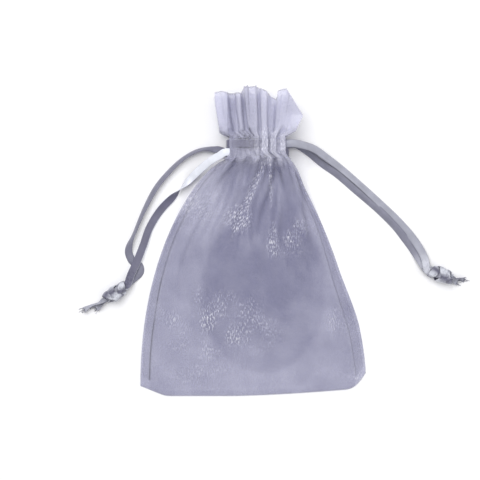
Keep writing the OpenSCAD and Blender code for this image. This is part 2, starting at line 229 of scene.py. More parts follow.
def organza(name, opacity):
    """Polyester organza: a plain weave of stiff, glassy single threads with open gaps.

    The gaps let the far side show. The smooth threads glint where the cloth is creased, and
    these glints are painted into the colour. The real thread spacing is about 0.25 mm; it is
    drawn at 0.5 mm so that it can be seen. The point attribute "tone_and_shading" runs from
    0 to 1 and mixes the shade colour to the light one: it is painted light and shade, with a
    little uneven tone of the cloth. "glint" paints near-white glints where it is high, and
    "sheer" says where the cloth is stretched and clearer.
    """
    tones = colours()
    material, tree, shader = blank_material(name)
    place = add(tree, "ShaderNodeUVMap", uv_map="cloth").outputs["UV"]
    tone_and_shading = add(tree, "ShaderNodeAttribute", attribute_name="tone_and_shading").outputs["Fac"]
    glint = add(tree, "ShaderNodeAttribute", attribute_name="glint").outputs["Fac"]
    sheer = add(tree, "ShaderNodeAttribute", attribute_name="sheer").outputs["Fac"]
    weave_scale = wave_scale(0.5)
    # Slubs are patches about 11 mm across, and the creases of crushed cloth 0.5 mm.
    slub_scale, crease_scale = 9.0, 210.0
    warp = add(
        tree, "ShaderNodeTexWave", {"Vector": place, "Scale": weave_scale, "Distortion": 0.0},
        wave_type="BANDS", bands_direction="X",
    ).outputs["Fac"]
    weft = add(
        tree, "ShaderNodeTexWave", {"Vector": place, "Scale": weave_scale, "Distortion": 0.0},
        wave_type="BANDS", bands_direction="Y",
    ).outputs["Fac"]
    weave = add(tree, "ShaderNodeMath", {0: warp, 1: weft}, operation="MAXIMUM").outputs[0]
    slubs = add(
        tree, "ShaderNodeTexNoise",
        {"Vector": place, "Scale": slub_scale, "Detail": 3.0, "Roughness": 0.55},
    ).outputs["Fac"]
    drawn_out = add(
        tree, "ShaderNodeVectorMath", {0: place, 1: (1.0, 0.3, 1.0)}, operation="MULTIPLY",
    ).outputs["Vector"]
    grain = add(
        tree, "ShaderNodeTexNoise", {"Vector": drawn_out, "Scale": crease_scale, "Detail": 1.5},
    ).outputs["Fac"]
    drift = add(
        tree, "ShaderNodeMapRange",
        {"Value": slubs, "From Min": 0.3, "From Max": 0.7, "To Min": -0.12, "To Max": 0.12},
    ).outputs["Result"]
    # The colour runs from the shade colour to the light one: painted light and shade from the point
    # attribute, and uneven tone from the slubs.
    level = add(tree, "ShaderNodeMath", {0: tone_and_shading, 1: drift}, operation="ADD", use_clamp=True)
    body = add(
        tree, "ShaderNodeMix",
        {"Factor": level.outputs[0], "A": rgba(tones.organza_shade), "B": rgba(tones.organza_light)},
        data_type="RGBA",
    ).outputs["Result"]
    # Painted glints: near-white specks where the glint attribute is high; they also make the cloth
    # less clear.
    specks = add(
        tree, "ShaderNodeMapRange",
        {"Value": grain, "From Min": 0.50, "From Max": 0.66, "To Min": 0.0, "To Max": 1.0},
    ).outputs["Result"]
    sparkle = add(
        tree, "ShaderNodeMath", {0: specks, 1: glint}, operation="MULTIPLY", use_clamp=True,
    ).outputs[0]
    shown = add(
        tree, "ShaderNodeMix", {"Factor": sparkle, "A": body, "B": rgba(tones.glint)},
        data_type="RGBA",
    ).outputs["Result"]
    tree.links.new(shown, shader.inputs["Base Color"])
    woven = add(
        tree, "ShaderNodeMapRange",
        {"Value": weave, "From Min": 0.4, "From Max": 1.0, "To Min": opacity - 0.08,
         "To Max": opacity + 0.05},
    ).outputs["Result"]
    opened = add(
        tree, "ShaderNodeMath", {0: sheer, 1: -0.7 * opacity, 2: woven}, operation="MULTIPLY_ADD",
    ).outputs[0]
    covered = add(
        tree, "ShaderNodeMath", {0: sparkle, 1: 0.5, 2: opened}, operation="MULTIPLY_ADD",
        use_clamp=True,
    ).outputs[0]
    tree.links.new(covered, shader.inputs["Alpha"])
    relief = add(
        tree, "ShaderNodeMath", {0: grain, 1: 1.6, 2: weave}, operation="MULTIPLY_ADD",
    ).outputs[0]
    bump = add(
        tree, "ShaderNodeBump", {"Height": relief, "Strength": 0.5, "Distance": 0.00006},
    ).outputs["Normal"]
    tree.links.new(bump, shader.inputs["Normal"])
    gloss = add(
        tree, "ShaderNodeMapRange",
        {"Value": grain, "From Min": 0.35, "From Max": 0.65, "To Min": 0.22, "To Max": 0.4},
    ).outputs["Result"]
    tree.links.new(gloss, shader.inputs["Roughness"])
    shader.inputs["IOR"].default_value = 1.54
    shader.inputs["Specular IOR Level"].default_value = 0.6
    shader.inputs["Sheen Weight"].default_value = 0.2
    shader.inputs["Sheen Roughness"].default_value = 0.4
    return material


def satin():
    """Polyester satin ribbon: long floats along the ribbon on its face, dull on its back.

    The floats stretch highlights across the ribbon. Real floats are about 0.1 mm wide and
    are drawn at 0.3 mm. The point attribute "satin_sheen", from 0 to 1, is painted sheen:
    it mixes the near-white sheen colour over the ribbon's dull colour, on its face. "crumple"
    says how deep the dents are where the ribbon is pulled into a knot.
    """
    tones = colours()
    material, tree, shader = blank_material("polyester_satin")
    place = add(tree, "ShaderNodeUVMap", uv_map="cloth").outputs["UV"]
    side = add(tree, "ShaderNodeAttribute", attribute_name="satin_sheen").outputs["Fac"]
    floats = add(
        tree, "ShaderNodeTexWave",
        {"Vector": place, "Scale": wave_scale(0.3), "Distortion": 0.6, "Detail": 1.0},
        wave_type="BANDS", bands_direction="X",
    ).outputs["Fac"]
    cloudy = add(
        tree, "ShaderNodeTexNoise", {"Vector": place, "Scale": 22.0, "Detail": 2.0},
    ).outputs["Fac"]
    faces = add(
        tree, "ShaderNodeMix",
        {"Factor": side, "A": rgba(tones.satin_back), "B": rgba(tones.satin_sheen)},
        data_type="RGBA",
    ).outputs["Result"]
    dulled = add(
        tree, "ShaderNodeMapRange",
        {"Value": cloudy, "From Min": 0.3, "From Max": 0.7, "To Min": 0.86, "To Max": 1.04},
    ).outputs["Result"]
    toned = add(
        tree, "ShaderNodeVectorMath", {0: faces, "Scale": dulled}, operation="SCALE",
    ).outputs["Vector"]
    tree.links.new(toned, shader.inputs["Base Color"])
    gloss = add(
        tree, "ShaderNodeMapRange", {"Value": side, "To Min": 0.5, "To Max": 0.27},
    ).outputs["Result"]
    tree.links.new(gloss, shader.inputs["Roughness"])
    crumple = add(tree, "ShaderNodeAttribute", attribute_name="crumple").outputs["Fac"]
    dents = add(
        tree, "ShaderNodeTexNoise", {"Vector": place, "Scale": 75.0, "Detail": 2.0},
    ).outputs["Fac"]
    dented = add(tree, "ShaderNodeMath", {0: dents, 1: crumple}, operation="MULTIPLY").outputs[0]
    creases = add(
        tree, "ShaderNodeBump", {"Height": dented, "Strength": 1.0, "Distance": 0.0016},
    ).outputs["Normal"]
    bump = add(
        tree, "ShaderNodeBump",
        {"Height": floats, "Strength": 0.35, "Distance": 0.00004, "Normal": creases},
    ).outputs["Normal"]
    tree.links.new(bump, shader.inputs["Normal"])
    shader.inputs["Anisotropic"].default_value = 0.5
    shader.inputs["IOR"].default_value = 1.54
    shader.inputs["Sheen Weight"].default_value = 0.2
    return material


def spun_thread(name, colour):
    """Spun polyester sewing thread: two plies twisted together, so fine slanted ridges.

    A slanted wave repeats at twice the distance along the thread, so every 0.8 mm, where
    the real twist repeats about every 0.5 mm.
    """
    material, tree, shader = blank_material(name)
    place = add(tree, "ShaderNodeUVMap", uv_map="cloth").outputs["UV"]
    twist = add(
        tree, "ShaderNodeTexWave",
        {"Vector": place, "Scale": wave_scale(0.4), "Distortion": 0.0},
        wave_type="BANDS", bands_direction="DIAGONAL",
    ).outputs["Fac"]
    shade = add(
        tree, "ShaderNodeMapRange", {"Value": twist, "To Min": 0.7, "To Max": 1.1},
    ).outputs["Result"]
    toned = add(
        tree, "ShaderNodeVectorMath", {0: tuple(colour), "Scale": shade}, operation="SCALE",
    ).outputs["Vector"]
    tree.links.new(toned, shader.inputs["Base Color"])
    bump = add(
        tree, "ShaderNodeBump", {"Height": twist, "Strength": 0.6, "Distance": 0.00005},
    ).outputs["Normal"]
    tree.links.new(bump, shader.inputs["Normal"])
    shader.inputs["Roughness"].default_value = 0.55
    shader.inputs["Sheen Weight"].default_value = 0.3
    return material


def painted_board():
    """Matt painted board for the floor: even, pale, with hardly any texture."""
    material, tree, shader = blank_material("pale_floor")
    place = add(tree, "ShaderNodeTexCoord").outputs["Object"]
    mottle = add(tree, "ShaderNodeTexNoise", {"Vector": place, "Scale": 30.0}).outputs["Fac"]
    shade = add(
        tree, "ShaderNodeMapRange", {"Value": mottle, "To Min": 0.99, "To Max": 1.01},
    ).outputs["Result"]
    toned = add(
        tree, "ShaderNodeVectorMath", {0: tuple(colours().floor), "Scale": shade},
        operation="SCALE",
    ).outputs["Vector"]
    tree.links.new(toned, shader.inputs["Base Color"])
    shader.inputs["Roughness"].default_value = 0.9
    shader.inputs["Specular IOR Level"].default_value = 0.1
    return material


MADE = {}


def material_once(name, make, *values):
    """The material of that name, made on its first use. Only this script's own are looked up,
    since the frame brings plain ones of its own."""
    if name not in MADE:
        MADE[name] = make(*values)
    return MADE[name]


# ---------------------------------------------------------------- meshes


def smooth(low, high, x):
    """0 below low, 1 above high, and 3t^2 - 2t^3 between them."""
    t = np.clip((x - low) / (high - low), 0, 1)
    return t * t * (3 - 2 * t)


def grid_quads(rows, columns, around=False):
    """Four-point faces of a grid whose points are listed row by row."""
    index = np.arange(rows * columns).reshape(rows, columns)
    if around:
        index = np.concatenate([index, index[:, :1]], axis=1)
    return np.stack(
        [index[:-1, :-1], index[:-1, 1:], index[1:, 1:], index[1:, :-1]], -1
    ).reshape(-1, 4)


def mesh_object(name, points_mm, quads, uv=None, caps=(), material=None, values=None):
    """A smooth mesh from points in millimetres, its faces and one UV for each point. values
    holds point attributes by name."""
    mesh = bpy.data.meshes.new(name)
    faces = quads.tolist() + [list(c) for c in caps]
    mesh.from_pydata((np.asarray(points_mm).reshape(-1, 3) * MM).tolist(), [], faces)
    mesh.update()
    mesh.polygons.foreach_set("use_smooth", np.ones(len(mesh.polygons), bool))
    if uv is not None:
        corner = np.empty(len(mesh.loops), np.int32)
        mesh.loops.foreach_get("vertex_index", corner)
        layer = mesh.uv_layers.new(name="cloth")
        layer.data.foreach_set("uv", np.asarray(uv).reshape(-1, 2)[corner].ravel())
    for attribute_name, value in (values or {}).items():
        attribute = mesh.attributes.new(attribute_name, "FLOAT", "POINT")
        attribute.data.foreach_set("value", np.asarray(value, np.float32).ravel())
    if material is not None:
        mesh.materials.append(material)
    piece = bpy.data.objects.new(name, mesh)
    bpy.context.scene.collection.objects.link(piece)
    return piece


def unit(vectors):
    """The vectors divided by their own length."""
    return vectors / (np.linalg.norm(vectors, axis=-1, keepdims=True) + 1e-12)


def curve_through(points, count):
    """A smooth line through the points (Catmull-Rom: each span is the cubic whose ends have
    the slope between their neighbours), resampled to count even steps."""
    p = np.asarray(points, float)
    padded = np.concatenate([2 * p[:1] - p[1:2], p, 2 * p[-1:] - p[-2:-1]])
    t = np.linspace(0, len(p) - 1, (len(p) - 1) * 24 + 1)
    k = np.minimum(t.astype(int), len(p) - 2)
    f = (t - k)[:, None]
    a, b, c, d = padded[k], padded[k + 1], padded[k + 2], padded[k + 3]
    fine = 0.5 * (
        2 * b + (c - a) * f + (2 * a - 5 * b + 4 * c - d) * f**2 + (3 * b - a - 3 * c + d) * f**3
    )
    steps = np.linalg.norm(np.diff(fine[:, :3], axis=0), axis=1)
    run = np.concatenate([[0], np.cumsum(steps)])
    even = np.linspace(0, run[-1], count)
    return np.stack([np.interp(even, run, fine[:, i]) for i in range(fine.shape[1])], -1)


def length_along(points):
    """The sum of the distances from each point to the next."""
    return np.linalg.norm(np.diff(points[:, :3], axis=0), axis=1).sum()


def across_floor(path, roll):
    """The direction of a ribbon's width: level and square to the path, then turned about the
    path by roll degrees."""
    tangent = unit(np.gradient(path, axis=0))
    sideways = unit(np.cross([0.0, 0.0, 1.0], tangent))
    upward = np.cross(tangent, sideways)
    turn = np.radians(roll)[:, None]
    return np.cos(turn) * sideways + np.sin(turn) * upward


def swept_band(path, wide, width, thickness, cup=0.0, sides=14):
    """A flat band carried along a path, with its width along wide. Its section is a rounded
    flat loop: the half width times cos(a), the half thickness times sin(a) to the power 0.6,
    lifted by cup times the square of the place across. Returns points, quads, caps, UV and
    which points are on the face."""
    tangent = unit(np.gradient(path, axis=0))
    wide = unit(wide - (wide * tangent).sum(-1, keepdims=True) * tangent)
    normal = np.cross(tangent, wide)
    angle = np.linspace(0, 2 * np.pi, sides, endpoint=False)
    thick = np.sign(np.sin(angle)) * np.abs(np.sin(angle)) ** 0.6
    half = np.broadcast_to(np.asarray(width, float) / 2, len(path))[:, None]
    offset_w = half * np.cos(angle)
    offset_n = thickness / 2 * thick + cup * (np.cos(angle) ** 2 - 0.5)
    offset_n = np.broadcast_to(offset_n, offset_w.shape)
    points = (
        path[:, None] + offset_w[..., None] * wide[:, None] + offset_n[..., None] * normal[:, None]
    )
    rows = len(path)
    run = np.concatenate([[0], np.cumsum(np.linalg.norm(np.diff(path, axis=0), axis=1))])
    uv = np.stack(np.broadcast_arrays(offset_w / 100, run[:, None] / 100), -1)
    face = np.broadcast_to((thick > 0).astype(float), (rows, sides))
    last = (rows - 1) * sides
    caps = [list(range(sides))[::-1], [last + i for i in range(sides)]]
    return points, grid_quads(rows, sides, around=True), caps, uv, face


def swept_thread(path, radius, sides=6):
    """A round thread carried along a path: its section is the radius times cos(a) to one side
    and times sin(a) to the other. Its UV moves on by 0.1 mm at each point."""
    tangent = unit(np.gradient(path, axis=0))
    upright = np.where(np.abs(tangent[:, 2:]) > 0.9, [[1.0, 0.0, 0.0]], [[0.0, 0.0, 1.0]])
    first = unit(np.cross(upright, tangent))
    second = np.cross(tangent, first)
    angle = np.linspace(0, 2 * np.pi, sides, endpoint=False)
    aside, upward = np.cos(angle)[None, :, None], np.sin(angle)[None, :, None]
    points = path[:, None] + radius * (aside * first[:, None] + upward * second[:, None])
    rows = len(path)
    run = np.linspace(0, rows * 0.1, rows)[:, None]
    uv = np.stack(np.broadcast_arrays(angle[None] * radius / 100, run / 100), -1)
    last = (rows - 1) * sides
    caps = [list(range(sides))[::-1], [last + i for i in range(sides)]]
    return points, grid_quads(rows, sides, around=True), caps, uv


class Gatherer:
    """Collects several surfaces into one mesh."""

    def __init__(self):
        self.points, self.quads, self.caps, self.uv, self.face = [], [], [], [], []
        self.count = 0

    def put(self, points, quads, caps, uv, face=None):
        """Adds a surface, with its faces numbered on from those before."""
        flat = points.reshape(-1, 3)
        self.points.append(flat)
        self.quads.append(quads + self.count)
        self.caps += [[i + self.count for i in cap] for cap in caps]
        self.uv.append(uv.reshape(-1, 2))
        # face holds how much painted sheen each point of a ribbon gets.
        self.face.append(np.ones(len(flat)) if face is None else face.ravel())
        self.count += len(flat)

    def finish(self, name, material, crumple=0.0):
        """Makes one mesh object of all the surfaces."""
        return mesh_object(
            name,
            np.concatenate(self.points),
            np.concatenate(self.quads),
            np.concatenate(self.uv),
            self.caps,
            material,
            {"satin_sheen": np.concatenate(self.face), "crumple": np.full(self.count, crumple)},
        )


# ---------------------------------------------------------------- the gathered cloth

# Each side of the body falls in to the neck as (1 - v^a)^b, where v runs from the bottom to
# the neck. The right side is also drawn in a little over its middle.
LEFT_FALL = (2.1, 0.7)
RIGHT_FALL = (1.5, 0.8)
RIGHT_DRAWN_IN = 2.0
RIM = 1.6
# The bottom fold has a cut corner at the left (height, share of the width), and rises to the
# right and again at its rounded corner (height, share where it starts, share that it takes).
LEFT_CORNER = (4.0, 0.11)
RIGHT_RISE = (3.2, 0.4, 0.6)
RIGHT_CORNER = (6.0, 0.92, 0.08)
BODY_LENGTH = 97.0
CASING_LENGTH = 9.0
ROW_STEP = 0.75
COLUMNS = 220
SEAM_REST_Z = 0.35
SEAM_NECK_Z = 6.0


def falls_in(v, powers):
    """(1 - v^a)^b, which is 1 at the bottom and 0 at the neck."""
    return np.maximum(0, 1 - v ** powers[0]) ** powers[1]


def left_edge(v):
    """Place of the left side, with v from the bottom to the neck."""
    rim = NECK_LEFT - RIM
    return rim + (PANEL_LOW[0] - rim) * falls_in(v, LEFT_FALL)


def right_edge(v):
    """Place of the right side, with v from the bottom to the neck."""
    rim = NECK_RIGHT + RIM
    drawn_in = RIGHT_DRAWN_IN * smooth(0.2, 0.5, v) * (1 - smooth(0.85, 1.0, v))
    return rim + (PANEL_HIGH[0] - rim) * falls_in(v, RIGHT_FALL) - drawn_in


def bottom_edge(u):
    """Where the fold at the bottom runs: the cut corner falls in a straight line, the rise
    grows as a power of 1.5, and the rounded corner as a square."""
    cut, cut_share = LEFT_CORNER
    rise, rise_from, rise_share = RIGHT_RISE
    corner, corner_from, corner_share = RIGHT_CORNER
    return (
        PANEL_LOW[1]
        + cut * np.maximum(0, 1 - u / cut_share)
        + rise * np.maximum(0, (u - rise_from) / rise_share) ** 1.5
        + corner * np.maximum(0, (u - corner_from) / corner_share) ** 2
    )


def share_up(y):
    """How far up the body a place is, from 0 at the bottom to 1 at the neck."""
    return np.clip((y - PANEL_LOW[1]) / (CASING_Y - PANEL_LOW[1]), 0, 1)


def left_edge_at(y):
    """Place of the left side at y."""
    return left_edge(share_up(y))


def right_edge_at(y):
    """Place of the right side at y."""
    return right_edge(share_up(y))


def seam_height(v):
    """The side seams lie on the floor and rise to the middle of the neck."""
    return SEAM_REST_Z + (SEAM_NECK_Z - SEAM_REST_Z) * smooth(0.7, 1.0, v)


def noise(random, shape, coarse):
    """Smooth noise: random values on a coarse grid, joined by 3t^2 - 2t^3 steps."""
    values = random.standard_normal((coarse[0] + 1, coarse[1] + 1))
    y = np.linspace(0, coarse[0], shape[0])
    x = np.linspace(0, coarse[1], shape[1])
    j = np.minimum(y.astype(int), coarse[0] - 1)
    i = np.minimum(x.astype(int), coarse[1] - 1)
    fy, fx = smooth(0, 1, y - j)[:, None], smooth(0, 1, x - i)[None]
    low = values[j][:, i] * (1 - fx) + values[j][:, i + 1] * fx
    high = values[j + 1][:, i] * (1 - fx) + values[j + 1][:, i + 1] * fx
    return low * (1 - fy) + high * fy


def link(points, free, a, b, rest, share, push_only=False):
    """Moves the points of each pair along the line between them, until they are rest apart
    or by that share of the way. free is 0 for a point that is held."""
    gap = points[b] - points[a]
    distance = np.sqrt((gap * gap).sum(-1)) + 1e-9
    excess = (distance - rest) / distance
    if push_only:
        excess = np.minimum(excess, 0)
    free_a, free_b = free[a], free[b]
    move = (excess * share / (free_a + free_b + 1e-9))[..., None] * gap
    points[a] += free_a[..., None] * move
    points[b] -= free_b[..., None] * move


def pairs(count, apart):
    """Slices (a, b) that pair each point with the one some places on, in batches where no
    point is used twice."""
    found = []
    for first in range(2 * apart):
        members = min(
            len(range(first, count - apart, 2 * apart)), len(range(first + apart, count, 2 * apart))
        )
        if members:
            reach = 2 * apart * (members - 1) + 1
            found.append(
                (slice(first, first + reach, 2 * apart),
                 slice(first + apart, first + apart + reach, 2 * apart))
            )
    return found


# Organza is stiff: threads some places apart stay at least this share of their distance
# apart, so that the cloth falls into broad folds and not into fine wrinkles.
BENDS = ((3, 0.985), (5, 0.97), (9, 0.92), (16, 0.8))
LENGTHWISE_BEND = (3, 0.985, 0.3)
DIAGONAL_PULL = 0.3
SPEED_KEPT = 0.9
TOP_SPEED = 0.3


def settle(points, free, across, along, lean, stiffness, limit, steps, rounds=3, fall=0.004):
    """Settles cloth: the points fall a little, then the threads between them are pulled back
    to their length, the diagonals to theirs more weakly, and folds that are too tight are
    pushed open. across and along hold the rest length of each thread, and lean the cosine of
    the angle between the two in the starting shape, so a diagonal's length is the root of
    w^2 + h^2 plus or minus 2 w h lean."""
    every = slice(None)
    previous = points.copy()
    crosswise, lengthwise = pairs(points.shape[1], 1), pairs(points.shape[0], 1)
    bends = [(gap, share, pairs(points.shape[1], gap)) for gap, share in BENDS]
    long_gap, long_share, long_pull = LENGTHWISE_BEND
    long_ones = pairs(points.shape[0], long_gap)
    moving = (free > 0)[..., None]
    for _ in range(steps):
        speed = np.clip((points - previous) * SPEED_KEPT, -TOP_SPEED, TOP_SPEED)
        previous = points.copy()
        points += speed * moving
        points[..., 2] -= fall * moving[..., 0]
        for _ in range(rounds):
            for a, b in crosswise:
                link(points, free, (every, a), (every, b), across[:, a], 1.0)
            for a, b in lengthwise:
                link(points, free, (a, every), (b, every), along[a], 1.0)
            for a, b in lengthwise:
                for c, d in crosswise:
                    w, h, cosine = across[a][:, c], along[a][:, c], lean[a][:, c]
                    rising = np.sqrt(w * w + h * h + 2 * w * h * cosine)
                    falling = np.sqrt(w * w + h * h - 2 * w * h * cosine)
                    link(points, free, (a, c), (b, d), rising, DIAGONAL_PULL)
                    link(points, free, (a, d), (b, c), falling, DIAGONAL_PULL)
            for gap, share, batches in bends:
                for a, b in batches:
                    link(points, free, (every, a), (every, b), gap * across[:, a] * share,
                         stiffness[:, a], push_only=True)
            for a, b in long_ones:
                link(points, free, (a, every), (b, every), long_gap * along[a] * long_share,
                     long_pull, push_only=True)
            limit(points)
    return points


# Creases of the header at its top edge, from left to right: place across and height above
# the middle of the layer. Broad flat folds stand beside narrow sunken ones.
FRONT_CREASES = [
    (-15.2, 0.6), (-10.2, 1.7), (-9.7, -1.5), (-7.2, -1.2), (-6.9, 0.6), (-5.0, 0.8),
    (-4.8, -1.2), (-3.9, -1.0), (-3.6, 1.6), (1.2, 2.0), (1.5, -1.0), (2.2, -0.8),
    (2.5, 1.6), (5.2, 1.2), (5.7, -1.4), (8.4, -1.8), (9.2, 0.0), (11.6, 1.9),
    (17.0, 0.8), (23.5, 0.2),
]
BACK_CREASES = [
    (-14.6, 0.2), (-11.4, 1.2), (-10.8, -0.8), (-6.2, -0.4), (-5.6, 1.3), (-2.4, 1.0),
    (-1.8, -0.9), (2.6, -0.7), (3.2, 1.2), (6.4, 0.9), (7.0, -0.8), (11.2, -0.4),
    (11.8, 1.1), (15.2, 0.4),
]
# How far up the header reaches at places across, in the same order.
FRONT_TOP = [
    (-15.2, 59.1), (-12.6, 59.6), (-8.8, 58.9), (-4.4, 59.2), (-3.7, 61.2), (1.2, 61.5),
    (5.2, 59.6), (8.8, 56.6), (10.6, 60.2), (12.6, 60.4), (23.5, 60.0),
]
BACK_TOP = [
    (-14.6, 58.4), (-10.8, 58.9), (-5.0, 58.3), (-1.8, 60.2), (3.2, 60.0), (8.6, 56.0),
    (11.4, 58.6), (15.2, 54.6),
]
# Painted light and shade of the header at places across: painted shade where a fold is
# sunken, painted light where layers lie on each other.
HEADER_TONE = [
    (-15.2, 0.84), (-10.4, 0.78), (-10.0, 0.42), (-7.0, 0.46), (-6.6, 0.78), (-4.9, 0.7),
    (-4.4, 0.66), (0.6, 0.73), (1.4, 0.95), (2.0, 0.9), (3.0, 0.84), (5.2, 1.0), (5.8, 0.74),
    (8.2, 0.62), (9.2, 0.9), (12.0, 0.94), (19.0, 0.88),
]
# The right top corner of the header is folded under along the line between these places.
CORNER_FOLD = ((12.6, 60.6), (19.7, 49.4))
CORNER_ROLL = 0.45
# The body's starting shape: how far the cloth is drawn to the right at the neck, as a share
# of the width, how high the front stands, and the number and height of its pleats.
DRAWN_RIGHT = 0.17
CROWN_Z = 11.0
PLEATS = 5
PLEAT_HEIGHT = {"front": 1.1, "back": 0.5}
RIPPLE_HEIGHT = {"front": 0.6, "back": 0.06}
BACK_REST_Z = 0.3
# What else differs between the two halves. casing_z is where the casing lies, and header_up
# how far the middle of the header lies above the ribbon. fullness is the share of the
# gathered width that the cloth keeps: in the body, and what is added to it towards the neck,
# in the casing and in the header. shaped is how firmly the header keeps its creases, inward
# the side on which the facing lies, glint how much of the painted glint shows and sheer how
# much of the sheerness.
HALVES = {
    "front": {
        "seed": 7, "ribbon_z": FRONT_RIBBON_Z, "casing_z": 11.4, "header_up": 0.6,
        "creases": FRONT_CREASES, "top": FRONT_TOP, "fullness": (0.2, 0.0, 0.12, -0.28),
        "shaped": 0.3, "inward": -1, "glint": 1.0, "sheer": 1.0,
    },
    "back": {
        "seed": 23, "ribbon_z": BACK_RIBBON_Z, "casing_z": 0.9, "header_up": 0.9,
        "creases": BACK_CREASES, "top": BACK_TOP, "fullness": (0.2, 0.25, 0.0, -0.05),
        "shaped": 0.05, "inward": 1, "glint": 0.3, "sheer": 0.0,
    },
}
SETTLE_STEPS = 110
IRON_PASSES = 16


def creased(creases, u):
    """A line across the header: the creases joined in order, with u as share of its length.
    Returns the place across and the height."""
    points = np.array(creases)
    run = np.concatenate([[0], np.cumsum(np.linalg.norm(np.diff(points, axis=0), axis=1))])
    return np.interp(u, run / run[-1], points[:, 0]), np.interp(u, run / run[-1], points[:, 1])


def even_rows(points, rows):
    """Slides the points of each column along it, so that its steps are all of one length."""
    fine = len(points)
    steps = np.linalg.norm(np.diff(points, axis=0), axis=-1)
    run = np.concatenate([np.zeros((1, points.shape[1])), np.cumsum(steps, axis=0)])
    share = run / run[-1]
    wanted = np.linspace(0, 1, rows)[:, None]
    below = (share[None, 1:-1] <= wanted[:, None]).sum(axis=1)
    below = np.clip(below, 0, fine - 2)
    low = np.take_along_axis(share, below, 0)
    high = np.take_along_axis(share, below + 1, 0)
    part = ((wanted - low) / (high - low + 1e-12))[..., None]
    first = np.take_along_axis(points, below[..., None], 0)
    second = np.take_along_axis(points, below[..., None] + 1, 0)
    return first + (second - first) * part


def from_sides(u):
    """0 at both sides of the cloth and 1 in its middle."""
    return 1 - np.abs(2 * u - 1)


def starting_body(side, u, body_rows):
    """The body of one half before it settles, and how its top row is spread. A place across
    is u + 0.17 sin(pi u) near the neck, so more of the cloth is drawn to the right there. The
    front stands up as (1 - (1 - v)^2.2)^0.8 along, and as 1 - (1 - e)^n across, where e is the
    nearness to the middle and n is 2 + 5 v^5. The back hangs between the seams. Pleats are
    the sine of the place across, shifted by noise, and ripples are broad noise."""
    random = np.random.default_rng(HALVES[side]["seed"])
    v = np.linspace(0, 1, 3 * body_rows + 1)[:, None]
    bunched = u + DRAWN_RIGHT * np.sin(np.pi * u) * smooth(0.6, 1, v)
    x = left_edge(v) + (right_edge(v) - left_edge(v)) * bunched
    bottom = bottom_edge(u)
    y = bottom + v * (CASING_Y - bottom)
    across_shape = 1 - (1 - from_sides(u)) ** (2 + 5 * v**5)
    edge = smooth(0, 0.05, from_sides(u))
    wobble = noise(random, y.shape, (4, 6))
    strength = np.clip(0.5 + 0.5 * noise(random, y.shape, (3, 8)), 0.05, 1.2)
    reach = 0.72 + 0.1 * noise(random, (1, COLUMNS + 1), (1, 9))
    pleats = np.sin(2 * np.pi * (PLEATS * u + 0.45 * wobble)) * strength * smooth(reach, 1, v)
    ripples = noise(random, y.shape, (6, 5))
    seam_z = seam_height(v)
    pleated, rippled = PLEAT_HEIGHT[side] * pleats, RIPPLE_HEIGHT[side] * ripples
    if side == "front":
        crown = CROWN_Z * (1 - (1 - v) ** 2.2) ** 0.8
        z = seam_z + np.maximum(crown - seam_z, 0) * across_shape
        z = z + edge * (pleated + rippled * (1 - 0.6 * v) * v**0.3)
    else:
        z = seam_z - (seam_z - BACK_REST_Z) * across_shape + edge * (pleated * v + rippled)
    return even_rows(np.stack([x, y, z], -1), body_rows + 1), bunched[-1:]


def starting_upper(side, u, bunched, last_z, casing_rows, header_rows):
    """The casing and the header before they settle. The casing goes from the body's top row
    to the neck's width and level. The header spreads from there to its creases at the top as
    h^n, where n is larger at the right, and its creases run down into the casing."""
    facts = HALVES[side]
    c = (np.arange(1, casing_rows + 1) / casing_rows)[:, None]
    h = (np.arange(1, header_rows + 1) / header_rows)[:, None]
    top_x, top_z = creased(facts["creases"], u)
    outline = np.array(facts["top"])
    top_y = np.interp(top_x, outline[:, 0], outline[:, 1])
    share = (top_x - top_x.min()) / (top_x.max() - top_x.min())
    neck = left_edge(1.0) + (right_edge(1.0) - left_edge(1.0)) * bunched
    neck_x = NECK_LEFT + (NECK_RIGHT - NECK_LEFT) * (0.45 * share + 0.55 * bunched)
    rise = smooth(0, 0.3, c)
    casing_x = neck + (neck_x - neck) * rise
    casing_y = CASING_Y + (CASING_TOP_Y - CASING_Y) * c + 0 * u
    side_z = SEAM_NECK_Z + (facts["ribbon_z"] - SEAM_NECK_Z) * smooth(0, 0.25, c)
    settled_z = side_z + (facts["casing_z"] - side_z) * smooth(0, 0.08, from_sides(u))
    creases_z = 0.25 * top_z * rise * smooth(0, 0.05, from_sides(u))
    casing_z = last_z + (settled_z - last_z) * rise + creases_z
    header_x = neck_x + (top_x - neck_x) * h ** (0.3 + 0.25 * share)
    header_y = CASING_TOP_Y + (top_y - CASING_TOP_Y) * h
    start_z = casing_z[-1:]
    wanted_z = facts["ribbon_z"] + facts["header_up"] + top_z * (0.55 + 0.45 * h)
    header_z = start_z + (wanted_z - start_z) * smooth(0, 0.25, h)
    return np.concatenate([
        np.stack([casing_x, casing_y, casing_z], -1), np.stack([header_x, header_y, header_z], -1)
    ])


